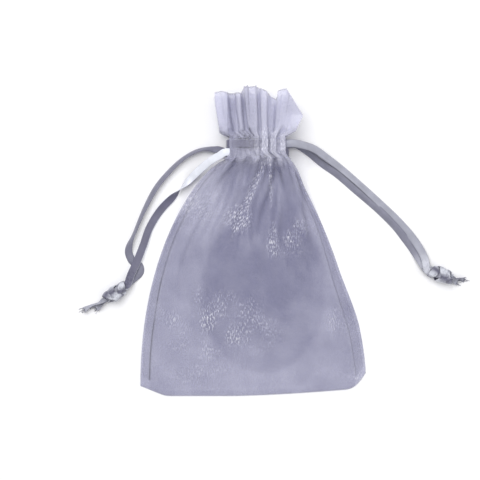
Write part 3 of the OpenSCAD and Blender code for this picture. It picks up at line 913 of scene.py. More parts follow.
def allowed_levels(side, u, v, in_casing, in_header):
    """The lowest and the highest level of each point. v, in_casing and in_header run from 0
    to 1 up each zone. The front's upper limit is a dome, as (1 - (1 - v)^2)^0.9. In the
    casing the front's lower limit is above the ribbon and the back's upper limit below it.
    Both limits widen to hold the seams."""
    ribbon_z = HALVES[side]["ribbon_z"]
    if side == "front":
        in_body = 0.8 + 1.6 * smooth(0.5, 0.8, v) + 4.6 * smooth(0.8, 1, v)
        lowest = np.where(in_casing > 0, ribbon_z + 0.3, in_body)
        lowest = lowest - 2.2 * smooth(0, 0.3, in_header)
        highest = np.minimum(1.4 + 11.2 * (1 - (1 - v) ** 2) ** 0.9, 12.6)
        in_neck = 11.15 + 1.7 * smooth(0.3, 0.55, u)
        in_neck = in_neck + (13.6 - in_neck) * smooth(0, 0.3, in_header)
        highest = np.where(in_casing > 0, in_neck, highest)
    else:
        lowest = np.full(v.shape, 0.12)
        highest = np.where(in_casing > 0, ribbon_z - 0.25, 0.45 + 1.4 * smooth(0.55, 1, v))
        highest = highest + 2.6 * smooth(0, 0.4, in_header)
    seam_z = seam_height(v)
    near_seam = 1 - smooth(0, 0.06, from_sides(u))
    lowest = lowest + (np.minimum(lowest, seam_z) - lowest) * near_seam
    highest = highest + (np.maximum(highest, seam_z + 0.3) - highest) * near_seam
    return lowest, highest


def half_of_cloth(side):
    """One half of the pouch, from the bottom fold to the top of the header, as a grid of
    points in millimetres, and the rows of its body, casing and header. side is "front" or
    "back". It starts as a smooth gathered shape with shallow pleats, and then settles between
    its lowest and highest allowed levels."""
    facts = HALVES[side]
    body_rows = round(BODY_LENGTH / ROW_STEP)
    casing_rows = round(CASING_LENGTH / ROW_STEP)
    header_rows = round(sizes().header_length / MM / ROW_STEP)
    u = np.linspace(0, 1, COLUMNS + 1)[None]
    body, bunched = starting_body(side, u, body_rows)
    upper = starting_upper(side, u, bunched, body[-1:, :, 2], casing_rows, header_rows)
    points = np.concatenate([body, upper])

    row = np.arange(len(points))[:, None]
    v = np.clip(row / body_rows, 0, 1)
    in_casing = np.clip((row - body_rows) / casing_rows, 0, 1)
    in_header = np.clip((row - body_rows - casing_rows) / header_rows, 0, 1)
    lowest, highest = allowed_levels(side, u, v, in_casing, in_header)

    # Threads along the pouch keep the length they have in the starting shape. Threads across
    # it keep part of the fullness that the gathers hold.
    lengths = np.linalg.norm(np.diff(points, axis=0), axis=-1)
    along = np.concatenate([lengths, lengths[-1:]])
    spans = np.linalg.norm(np.diff(points, axis=1), axis=-1)
    spans = np.concatenate([spans, spans[:, -1:]], axis=1)
    flat = sizes().cloth_width / MM
    all_over, at_neck, at_casing, at_header = facts["fullness"]
    fullness = all_over + at_neck * smooth(0.6, 1.0, v)
    fullness = fullness + at_casing * smooth(0, 0.3, in_casing)
    fullness = fullness + at_header * smooth(0, 0.3, in_header)
    across = spans + np.maximum(flat / COLUMNS - spans, 0) * fullness
    steps_u, steps_v = np.gradient(points, axis=1), np.gradient(points, axis=0)
    lean = (unit(steps_u) * unit(steps_v)).sum(-1)

    # The seams and the bottom fold are held still, the casing is held nearly in its place, and
    # the header is drawn back to its creases.
    free = np.ones(points.shape[:2])
    free[: body_rows + 1, [0, -1]] = 0
    free[0] = 0
    start = points.copy()
    held = smooth(0, 0.1, in_casing) * (1 - smooth(0, 0.12, in_header)) + 0 * u
    shaped = facts["shaped"] * smooth(0.05, 0.35, in_header) + 0 * u
    moving = free > 0
    stiffness = 0.5 + 0.1 * (1 - v) + 0 * u

    def limit(p):
        part = p[: body_rows + 1]
        inside = np.clip(part[..., 0], left_edge_at(part[..., 1]), right_edge_at(part[..., 1]))
        part[..., 0] = np.where(moving[: body_rows + 1], inside, part[..., 0])
        clipped = np.clip(p[..., 2], lowest, highest)
        p[..., 2] += np.where(moving, (clipped - p[..., 2]) * 0.7, 0)
        p[..., 1] += np.where(moving, (start[..., 1] - p[..., 1]) * (0.25 * held + shaped), 0)
        p[..., 0] += np.where(moving, (start[..., 0] - p[..., 0]) * (0.12 * held + shaped), 0)
        p[..., 2] += np.where(moving, (start[..., 2] - p[..., 2]) * shaped, 0)

    steps = SETTLE_STEPS
    settle(points, free, across, along, lean, stiffness, limit, steps)
    iron(points, body_rows)
    if side == "front":
        turn_corner(points, body_rows + casing_rows)
    return points, (body_rows, casing_rows, header_rows)


def iron(points, body_rows):
    """Takes fine wrinkles out of the body and leaves its broad folds: each point is moved
    again and again to half of itself and a quarter of each neighbour in its row. It fades out
    towards the neck, where the gathers are sharp."""
    weight = (1 - smooth(0.86, 1.0, np.linspace(0, 1, body_rows)))[:, None, None]
    for _ in range(IRON_PASSES):
        part = points[:body_rows]
        even = 0.25 * part[:, :-2] + 0.5 * part[:, 1:-1] + 0.25 * part[:, 2:]
        part[:, 1:-1] += weight * (even - part[:, 1:-1])


def turn_corner(points, first_row):
    """Folds the header's corner under: cloth beyond the fold line goes round a small roll,
    as r sin(s/r), and then lies back below itself."""
    start, end = np.array(CORNER_FOLD[0]), np.array(CORNER_FOLD[1])
    line = unit(end - start)
    outward = np.array([-line[1], line[0]])
    part = points[first_row:]
    beyond = (part[..., :2] - start) @ outward
    radius = CORNER_ROLL
    half_turn = math.pi * radius
    rolled = np.clip(beyond, 0, half_turn)
    kept = np.where(
        beyond < half_turn, radius * np.sin(rolled / radius), half_turn - beyond
    )
    move = np.where(beyond > 0, kept - beyond, 0)
    drop = np.where(beyond > 0, radius * (1 - np.cos(rolled / radius)), 0)
    part[..., :2] += move[..., None] * outward
    part[..., 2] -= drop


def normals(points):
    """Unit normals of a grid: the cross product of its slopes across and along."""
    return unit(np.cross(np.gradient(points, axis=1), np.gradient(points, axis=0)))


FACING_GAP = 0.4
TUNNEL_GAP = 0.5


def with_facing(points, counts, inward, tunnel_z):
    """The cloth goes on over the top edge and comes down inside the header and the casing,
    as the facing of the hem. It lies a little inside the outer layer; in the casing it moves
    to the far side of the ribbon, and at its own edge it meets the outer layer again."""
    body_rows, casing_rows, header_rows = counts
    facing_rows = casing_rows + header_rows
    outer = points[body_rows:][::-1]
    inside = outer + inward * FACING_GAP * normals(points)[body_rows:][::-1]
    down = (np.arange(facing_rows + 1) / facing_rows)[:, None]
    start_of_casing = header_rows / facing_rows
    within = smooth(start_of_casing, start_of_casing + 0.07, down) * (1 - smooth(0.94, 1.0, down))
    tunnel = tunnel_z + inward * (TUNNEL_GAP - 0.15 * np.sin(outer[..., 0] * 1.7))
    inside[..., 2] = inside[..., 2] * (1 - within) + tunnel * within
    return np.concatenate([points, inside[1:]])


def cloth_uv(points_shape):
    """UV in units of 100 mm of cloth, across and along."""
    rows, columns = points_shape[:2]
    u = np.linspace(0, sizes().cloth_width / 0.1, columns)
    v = np.arange(rows) * ROW_STEP / 100
    return np.stack(np.broadcast_arrays(u[None], v[:, None]), -1)


CLOTH = {}


def settled(side):
    """The settled half of the cloth, worked out once."""
    if side not in CLOTH:
        CLOTH[side] = half_of_cloth(side)
    return CLOTH[side]


# Patches of painted light and shade on the cloth, as (amount, place across, place along,
# half width, half height, blur of the rim, lean across for each millimetre along).
LIGHT_AND_SHADE_PATCHES = (
    (-0.17, 3.0, -4.0, 22.0, 24.0, 0.6, 0.0),
    (-0.12, 6.0, 18.0, 13.0, 13.0, 1.0, 0.0),
    (0.3, -19.0, 16.0, 9.0, 12.0, 1.2, 0.0),
)
# These are painted glints here and there, speckled with noise.
GLINT_PATCHES = (
    (1.0, 11.0, 2.0, 11.0, 7.0, 1.4, 0.0),
    (0.9, -13.0, -33.0, 18.0, 11.0, 1.5, 0.0),
    (0.55, -20.0, -53.0, 10.0, 4.0, 1.4, 0.0),
    (0.7, -24.0, 16.0, 9.0, 6.0, 1.4, 0.0),
    (0.5, 35.0, -31.0, 5.0, 5.0, 1.4, 0.0),
)
# These are painted glints all over: on a slanting crease and its end, along a pulled thread,
# on the gathers at the right of the casing and on the corner at the bottom right.
SPARKLING_PATCHES = (
    (1.1, -1.2, 19.0, 1.5, 14.0, 1.2, 0.42),
    (0.99, -5.6, 10.0, 4.6, 4.6, 1.4, 0.0),
    (1.3, 6.925, 23.5, 0.6, 8.5, 0.6, -0.05),
    (0.75, 7.0, 38.5, 7.0, 6.0, 1.2, 0.0),
    (0.6, 41.0, -53.6, 4.0, 1.1, 1.0, 0.0),
)
# Here the casing is stretched and the ribbon shows through.
SHEER_PATCHES = ((1.0, -2.4, 39.2, 5.6, 2.7, 0.9, 0.0),)
# Within this oval (place, half width, half height) the two halves stand apart, and the cloth gets
# painted shade.
SHADED_OVAL = (4.0, -19.0, 25.0, 33.0)
# Base levels of painted light and shade for the body and, lighter where two layers lie on each other,
# for the seam allowances.
BODY_TONE = 0.34
ALLOWANCE_TONE = 0.42


def patches(points, table):
    """The sum of the table's ovals, each its amount inside and 0 outside, with a rim blurred
    by 3t^2 - 2t^3."""
    x, y = points[..., 0], points[..., 1]
    total = 0
    for amount, middle_x, middle_y, width, height, blur, lean in table:
        shifted = x - middle_x - lean * (y - middle_y)
        place = np.hypot(shifted / width, (y - middle_y) / height)
        total = total + amount * (1 - smooth(1 - blur / 2, 1 + blur / 2, place))
    return total


def cloth_values(points, counts, side):
    """Point attributes of the cloth. Its tone_and_shading is painted shade where the two halves
    stand far apart and little light comes back, and painted light at the bottom, over the seam
    allowances and where layers lie on each other, with a little uneven tone of the cloth. The
    rim of the shaded oval has a thin painted shade line, which is the bell curve of the
    distance from it. Glints are painted in patches."""
    x, y = points[..., 0], points[..., 1]
    facts = HALVES[side]
    random = np.random.default_rng(5)
    clouds = noise(random, points.shape[:2], (9, 8))
    glint_noise = noise(random, points.shape[:2], (26, 17))
    body_rows = counts[0]
    upper = np.zeros(points.shape[:2])
    upper[body_rows:] = 1
    upper[body_rows - 3 : body_rows] = np.array([0.25, 0.5, 0.75])[:, None]
    shade_x, shade_y, half_width, half_height = SHADED_OVAL
    around = np.hypot((x - shade_x) / half_width, (y - shade_y) / half_height)
    rim_shade = np.exp(-(((around - 0.98) / 0.05) ** 2)) * (1 - smooth(-38, -20, y))
    from_edge = np.minimum(x - left_edge_at(y), right_edge_at(y) - x)
    # Painted light and shade: a base level, the cloth's own uneven tone from the clouds, painted
    # patches, painted light at the bottom and over the seam allowances, and painted shade in the oval
    # and along its rim.
    body_tone = (
        BODY_TONE + 0.04 * clouds + patches(points, LIGHT_AND_SHADE_PATCHES)
        + 0.1 * (1 - smooth(-56, -30, y))
        + 0.14 * (1 - smooth(3.2, 4.4, from_edge))
        - 0.13 * (1 - smooth(0.92, 1.04, around))
        - 0.05 * rim_shade
    )
    # Painted light and shade of the casing and header, with the cloth's own uneven tone.
    folds = np.array(HEADER_TONE)
    top_tone = np.interp(x, folds[:, 0], folds[:, 1]) + 0.08 + 0.05 * clouds
    tone_and_shading = body_tone * (1 - upper) + top_tone * upper
    # Painted glints: patches speckled by noise, and patches that glint all over.
    glint = patches(points, GLINT_PATCHES) * (0.45 + 0.45 * glint_noise)
    glint = np.clip(glint + patches(points, SPARKLING_PATCHES) + 0.02, 0, 0.9)
    sheer = patches(points, SHEER_PATCHES)
    return {
        "tone_and_shading": np.clip(tone_and_shading, 0, 1), "glint": facts["glint"] * glint, "sheer": facts["sheer"] * sheer,
    }


ORGANZA_OPACITY = 0.31


def cloth_piece(side):
    """One half of the cloth with its facing, as a piece with its thickness."""
    points, counts = settled(side)
    whole = with_facing(points, counts, HALVES[side]["inward"], HALVES[side]["ribbon_z"])
    quads = grid_quads(*whole.shape[:2])
    if side == "back":
        quads = quads[:, ::-1]
    piece = mesh_object(
        side + "_cloth", whole, quads, cloth_uv(whole.shape),
        material=material_once("sheer_organza", organza, "sheer_organza", ORGANZA_OPACITY),
        values=cloth_values(whole, counts, side),
    )
    skin = piece.modifiers.new("cloth_thickness", "SOLIDIFY")
    skin.thickness = sizes().cloth_thickness
    skin.offset = 0.0
    return piece


class POUCH_OT_front_cloth(bpy.types.Operator):
    """Make the front half of the cloth: panel, casing and header, with its facing"""

    bl_idname = "pouch.front_cloth"
    bl_label = "Front cloth"

    def execute(self, context):
        piece = cloth_piece("front")
        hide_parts("front_panel", "front_casing", "front_header")
        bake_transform(piece)
        return {"FINISHED"}


class POUCH_OT_back_cloth(bpy.types.Operator):
    """Make the back half of the cloth: panel, casing and header, with its facing"""

    bl_idname = "pouch.back_cloth"
    bl_label = "Back cloth"

    def execute(self, context):
        piece = cloth_piece("back")
        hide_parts("back_panel", "back_casing", "back_header")
        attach(piece, "pouch")
        return {"FINISHED"}


ALLOWANCE_ROWS = (5, 6)
STITCHED_ROWS = (6, 2)
SEAM_COLUMN = 2
# The raw edges are drawn as near-black threads: real edges that also paint the shade along them. The
# left one is thicker, so its painted shade line is darker.
RAW_EDGE_RADIUS = {"left": 0.32, "right": 0.17}
STITCH_LIFT = 0.1
STITCH_SHARE = 0.62
STITCH_DIP = 0.12


class POUCH_OT_seams(bpy.types.Operator):
    """Make the seam allowances inside both side seams, and the side seams' thread"""

    bl_idname = "pouch.seams"
    bl_label = "Side seams"

    def execute(self, context):
        front, counts = settled("front")
        back = settled("back")[0]
        body_rows = counts[0]
        step = sizes().cloth_width / MM / COLUMNS
        reach = round(sizes().allowance / MM / step)
        rows = slice(ALLOWANCE_ROWS[0], body_rows - ALLOWANCE_ROWS[1])
        stitched = slice(STITCHED_ROWS[0], body_rows - STITCHED_ROWS[1])
        for side, columns in (
            ("left", slice(SEAM_COLUMN, reach + 1)), ("right", slice(-reach - 1, -SEAM_COLUMN))
        ):
            strip = 0.5 * (front[rows, columns] + back[rows, columns])
            # Painted light: the allowance is given one level of painted light.
            tone_and_shading = np.full(strip.shape[:2], ALLOWANCE_TONE)
            piece = mesh_object(
                side + "_allowance", strip, grid_quads(*strip.shape[:2]),
                cloth_uv(strip.shape),
                material=material_once("sheer_organza", organza, "sheer_organza", ORGANZA_OPACITY),
                values={"tone_and_shading": tone_and_shading, "glint": 0 * tone_and_shading, "sheer": 0 * tone_and_shading},
            )
            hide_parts(side + "_seam_allowance")
            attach(piece, "pouch")

            # The raw edge is real, and its near-black thread also paints the shade along it.
            edge = strip[:, -1 if side == "left" else 0]
            edge_path = curve_through(edge[::4], len(edge))
            raw_points, quads, caps, edge_uv = swept_thread(edge_path, RAW_EDGE_RADIUS[side])
            raw = mesh_object(
                side + "_raw_edge", raw_points, quads, edge_uv, caps,
                material_once("raw_edge", spun_thread, "raw_edge", tuple(colours().raw_edge)),
            )
            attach(raw, "pouch")

            column = SEAM_COLUMN if side == "left" else -SEAM_COLUMN - 1
            seam = front[stitched, column] + np.array([0, 0, STITCH_LIFT])
            seam = curve_through(seam[::3], 400)
            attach(self.stitches(side, seam), "pouch")
        return {"FINISHED"}

    def stitches(self, side, seam):
        """Running stitches along the seam: 0.62 of each pitch shows on top, and its two ends
        dip into the cloth."""
        gathered = Gatherer()
        pitch = sizes().stitch / MM
        total = length_along(seam)
        count = int(total / pitch)
        place = np.concatenate([[0], np.cumsum(np.linalg.norm(np.diff(seam, axis=0), axis=1))])
        for k in range(count):
            s = np.linspace(k * pitch, (k + STITCH_SHARE) * pitch, 6)
            path = np.stack([np.interp(s, place, seam[:, i]) for i in range(3)], -1)
            path[[0, -1], 2] -= STITCH_DIP
            gathered.put(*swept_thread(path, sizes().thread / MM / 2))
        piece = gathered.finish(
            side + "_seam_stitches",
            material_once("spun_thread", spun_thread, "spun_thread", tuple(colours().thread)),
        )
        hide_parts(side + "_seam_thread")
        return piece


CASING_STITCH_LIFT = {"front": 0.1, "back": -0.08}
CASING_SEAM_POINTS = 900
CASING_STITCH_POINTS = 40
CASING_STITCH_SHOWN = 26


class POUCH_OT_casing_stitches(bpy.types.Operator):
    """Make the four stitched lines that hold the two casings"""

    bl_idname = "pouch.casing_stitches"
    bl_label = "Casing stitches"

    def execute(self, context):
        thread = material_once("spun_thread", spun_thread, "spun_thread", tuple(colours().thread))
        for side, lift in CASING_STITCH_LIFT.items():
            points, counts = settled(side)
            for line, row in (("lower", counts[0] + 1), ("upper", counts[0] + counts[1] - 1)):
                seam = curve_through(points[row] + np.array([0, 0, lift]), CASING_SEAM_POINTS)
                gathered = Gatherer()
                for first in range(
                    0, len(seam) - CASING_STITCH_POINTS + 1, CASING_STITCH_POINTS
                ):
                    path = seam[first : first + CASING_STITCH_SHOWN : 3]
                    gathered.put(*swept_thread(path, sizes().thread / MM / 2))
                piece = gathered.finish(side + "_casing_" + line + "_stitches", thread)
                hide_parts(side + "_casing_" + line + "_thread")
                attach(piece, "pouch")
        return {"FINISHED"}


# ---------------------------------------------------------------- ribbons

# Routes of the four strands as the CAD has them: distance from the mouth of the casing
# across and along, share of the mouth's height that is left, height where the ribbon
# lies, and roll in degrees. All in millimetres.
LEFT_FRONT = [
    (0, 0, 1, 0, 0), (-3, 0, 1, 0, 0), (-8, -2.5, 0.78, 0, 0), (-12.5, -6, 0.42, 1, 0),
    (-16.5, -10, 0.12, 1.2, 20), (-20, -14, 0, 2, 90), (-23.5, -18, 0, 1.2, 160),
    (-28, -23, 0, 0.4, 180), (-32, -29.5, 0, 0.4, 180), (-34.5, -36.5, 0, 0.9, 180),
    (-37, -43, 0, 1.4, 180), (-39.5, -48.5, 0, 2, 180),
]
LEFT_BACK = [
    (0, 0, 1, 0, 0), (-4, 0, 1, 0, 0), (-11, 0.2, 0.3, 0.4, 0), (-17.5, -3, 0, 0.4, 0),
    (-24, -8.5, 0, 0.4, 0), (-29.5, -14.5, 0, 0.4, 0), (-34, -22, 0, 0.4, 0),
    (-37.5, -30, 0, 0.4, 0), (-40.5, -38, 0, 0.4, 0), (-39.5, -42.5, 0, 0.4, 0),
    (-37.5, -45.5, 0, 0.4, 0), (-38.4, -49, 0, 0.8, 0),
]
RIGHT_FRONT = [
    (0, 0, 1, 0, 0), (4, 0, 1, 0, 0), (11, -1.4, 0.6, 0, 0), (17, -5, 0.25, 1, 0),
    (23.2, -9.4, 0, 1, 0), (31.2, -16.3, 0, 0.8, 0), (39, -23.6, 0, 0.6, 0),
    (46.5, -31, 0, 0.6, 0), (52.5, -38.5, 0, 0.9, 0), (55.8, -44.5, 0, 1.6, 0),
]
RIGHT_BACK = [
    (0, 0, 1, 0, 0), (4.5, 0, 1, 0, 0), (9.5, -3.6, 0.4, 0.4, 0), (14.5, -8, 0, 0.4, 0),
    (21, -12.6, 0, 0.4, 0), (28.5, -19, 0, 0.4, 0), (36.3, -25.8, 0, 0.4, 0),
    (43.6, -33.2, 0, 0.4, 0), (49.6, -40.6, 0, 0.4, 0), (53, -45.6, 0, 1, 0),
]
KNOT_Z = 2.6
KNOTS = {
    "left": {"enter": (-42, -53), "way": 215.0, "length": 9.0},
    "right": {"enter": (58, -50.4), "way": -19.0, "length": 9.0},
}
STACK = 0.35
BIGHT = 1.5
# The four strands. mouth_z and stack are their heights at the mouth and in the knot, tilt
# turns them about their length in degrees, and painted_sheen is how much painted sheen their
# face gets in its colour. aside moves them to their left in millimetres, up to its full size
# at the share "full" and fading between the shares of fade. loop is the same for one short
# stretch.
STRANDS = {
    "left_front_strand": {
        "side": "left", "route": LEFT_FRONT, "mouth_z": FRONT_RIBBON_Z, "stack": STACK,
        "tilt": 0.0, "painted_sheen": 1.0, "aside": 0.9, "full": 0.07, "fade": (0.2, 0.5), "loop": 0.0,
    },
    "left_back_strand": {
        "side": "left", "route": LEFT_BACK, "mouth_z": BACK_RIBBON_Z, "stack": -STACK,
        "tilt": 54.0, "painted_sheen": 0.1, "aside": -1.5, "full": 0.07, "fade": (0.2, 0.6), "loop": 1.7,
    },
    "right_front_strand": {
        "side": "right", "route": RIGHT_FRONT, "mouth_z": FRONT_RIBBON_Z, "stack": STACK,
        "tilt": -24.0, "painted_sheen": 0.34, "aside": -0.5, "full": 0.3, "fade": (0.88, 0.98), "loop": 0.0,
    },
    "right_back_strand": {
        "side": "right", "route": RIGHT_BACK, "mouth_z": BACK_RIBBON_Z, "stack": -STACK,
        "tilt": 22.0, "painted_sheen": 0.14, "aside": 0.6, "full": 0.3, "fade": (0.88, 0.98), "loop": 0.0,
    },
}
LOOP_AT = 0.895
LOOP_WIDTH = 0.035
TILT_GROWS, TILT_FADES = (0.02, 0.14), (0.7, 0.82)
SWAY, SWAYS = 8, 11
CUP = -0.3
# Near the knots the ribbons are dented, and the right ones get more painted sheen.
DENTS, DENTS_GROW = 0.6, (0.86, 0.96)
RIGHT_SHINE, SHINE_GROWS = 0.3, (0.87, 0.95)
INTO_KNOT = 1.6


def mouth(side):
    """Where a ribbon leaves its casing, on the floor plan, in millimetres."""
    if side == "left":
        return np.array([NECK_LEFT, (LEFT_RUN_LOW[1] + LEFT_RUN_HIGH[1]) / 2])
    return np.array([NECK_RIGHT, (RIGHT_RUN_LOW[1] + RIGHT_RUN_HIGH[1]) / 2])


def knot_frame(side):
    """A knot's point of entry, its direction and its left, in millimetres."""
    facts = KNOTS[side]
    way = math.radians(facts["way"])
    entry = np.array([*(mouth(side) + np.array(facts["enter"])), KNOT_Z])
    ahead = np.array([math.cos(way), math.sin(way), 0.0])
    return entry, ahead, np.array([-ahead[1], ahead[0], 0.0])


def strand_route(side, route, mouth_z, stack):
    """The strand's points with their roll, ending at its knot. A point's height is its share
    of the mouth's height, and the rest of the way down its own height."""
    r = np.array(route, float)
    xy = mouth(side) + r[:, :2]
    z = r[:, 2] * mouth_z + (1 - r[:, 2]) * r[:, 3]
    entry, ahead, _ = knot_frame(side)
    end = entry + np.array([0, 0, stack])
    body = np.column_stack([xy, z, r[:, 4]])
    tail = [[*(end - INTO_KNOT * ahead), r[-1, 4]], [*end, r[-1, 4]]]
    return np.concatenate([body, tail])


class POUCH_OT_strands(bpy.types.Operator):
    """Make the four ribbon strands that lie beside the pouch"""

    bl_idname = "pouch.strands"
    bl_label = "Ribbon strands"

    # A strand's roll is the CAD's, with its tilt and a small sine added. It stands on its lower
    # edge, half its width times the sine of its roll above the floor. It moves aside by its
    # own amount, and the loop adds a bell curve to that.
    def execute(self, context):
        ribbon = material_once("polyester_satin", satin)
        width = sizes().ribbon_width / MM
        for name, facts in STRANDS.items():
            side = facts["side"]
            route = strand_route(side, facts["route"], facts["mouth_z"], facts["stack"])
            line = curve_through(route, 180)
            path, roll = line[:, :3], line[:, 3]
            share = np.linspace(0, 1, len(path))
            tilted = smooth(*TILT_GROWS, share) * (1 - smooth(*TILT_FADES, share))
            roll = roll + facts["tilt"] * tilted + SWAY * np.sin(SWAYS * share)
            stands = width / 2 * np.abs(np.sin(np.radians(roll))) + sizes().ribbon_thickness / MM
            path[:, 2] = np.maximum(path[:, 2], stands)
            aside = facts["aside"] * smooth(0, facts["full"], share)
            aside = aside * (1 - smooth(*facts["fade"], share))
            aside = aside + facts["loop"] * np.exp(-(((share - LOOP_AT) / LOOP_WIDTH) ** 2))
            path = path + aside[:, None] * across_floor(path, 0 * roll)
            points, quads, caps, uv, face = swept_band(
                path, across_floor(path, roll), width, sizes().ribbon_thickness / MM, cup=CUP
            )
            # Painted sheen: the face is drawn lighter by the strand's own amount, and the right
            # strands more so near the knot.
            painted_sheen = facts["painted_sheen"]
            if side == "right":
                painted_sheen = painted_sheen + RIGHT_SHINE * smooth(*SHINE_GROWS, share)[:, None]
            crumple = DENTS * smooth(*DENTS_GROW, share)[:, None] + 0 * face
            piece = mesh_object(
                name, points, quads, uv, caps, ribbon,
                {"satin_sheen": painted_sheen * face, "crumple": crumple},
            )
            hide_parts(name.replace("_", "_ribbon_", 1))
            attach(piece, side + "_drawstring")
        return {"FINISHED"}


class POUCH_OT_ribbon_runs(bpy.types.Operator):
    """Make the part of each ribbon that runs through both casings and round the neck"""

    bl_idname = "pouch.ribbon_runs"
    bl_label = "Ribbon runs"

    # Each run starts at its own mouth, goes through the back casing, turns up round the far
    # side of the neck, which is its bight, and comes back through the front casing.
    def execute(self, context):
        ribbon = material_once("polyester_satin", satin)
        for side, low, high in (
            ("left", LEFT_RUN_LOW, LEFT_RUN_HIGH), ("right", RIGHT_RUN_LOW, RIGHT_RUN_HIGH)
        ):
            y = (low[1] + high[1]) / 2
            back, front = BACK_RIBBON_Z, FRONT_RIBBON_Z
            sign = 1 if side == "left" else -1
            open_x = low[0] if side == "left" else high[0]
            turn_x = (NECK_RIGHT if side == "left" else NECK_LEFT) + sign * BIGHT
            corner = np.array([
                (open_x, back), (open_x + sign * 8, back), (turn_x - sign * 6, back),
                (turn_x - sign * 2.2, back), (turn_x - sign * 0.7, back + 0.7),
                (turn_x - sign * 0.2, back + 2.6), (turn_x - sign * 0.2, front - 2.6),
                (turn_x - sign * 0.7, front - 0.7), (turn_x - sign * 2.2, front),
                (turn_x - sign * 6, front), (open_x + sign * 8, front), (open_x, front),
            ])
            level = np.full(len(corner), y)
            path = curve_through(np.column_stack([corner[:, 0], level, corner[:, 1]]), 160)
            wide = np.tile([0.0, 1.0, 0.0], (len(path), 1))
            points, quads, caps, uv, face = swept_band(
                path, wide, sizes().ribbon_width / MM, sizes().ribbon_thickness / MM
            )
            # Painted sheen: the left run gets it on the face side of its band, the right run on the
            # other side.
            run_sheen = face if side == "left" else 1 - face
            piece = mesh_object(
                side + "_run", points, quads, uv, caps, ribbon, {"satin_sheen": run_sheen}
            )
            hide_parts(side + "_ribbon_run")
            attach(piece, side + "_drawstring")
        return {"FINISHED"}


# The two ribbons that go through a knot: shift to its left and turn in degrees.
KNOT_THROUGH = ((0.6, 20.0), (-0.6, -65.0))
# The turns round it: place along as a share, radius, skew along it, and lag in radians.
KNOT_TURNS = ((0.18, 2.0, 0.9, 0.4), (0.46, 2.5, -1.5, 1.3), (0.78, 2.1, 1.1, 2.6))
KNOT_CORE = 3.4
KNOT_SEEDS = {"left": 31, "right": 37}
# The cut ends: how far the longer one reaches and how far it leans to its left, and for both
# of them the share of that reach, the swing and the roll.
TAIL_REACH = {"left": (10.5, -1.0), "right": (5.6, 0.9)}
TAILS = ((1.0, 1.0, 25.0), (0.6, -0.5, -20.0))
TAIL_SEEDS = {"left": 41, "right": 43}
TAIL_POINTS = 40
FRAY_RADIUS, FRAY_POINTS, FRAY_SIDES = 0.06, 7, 5


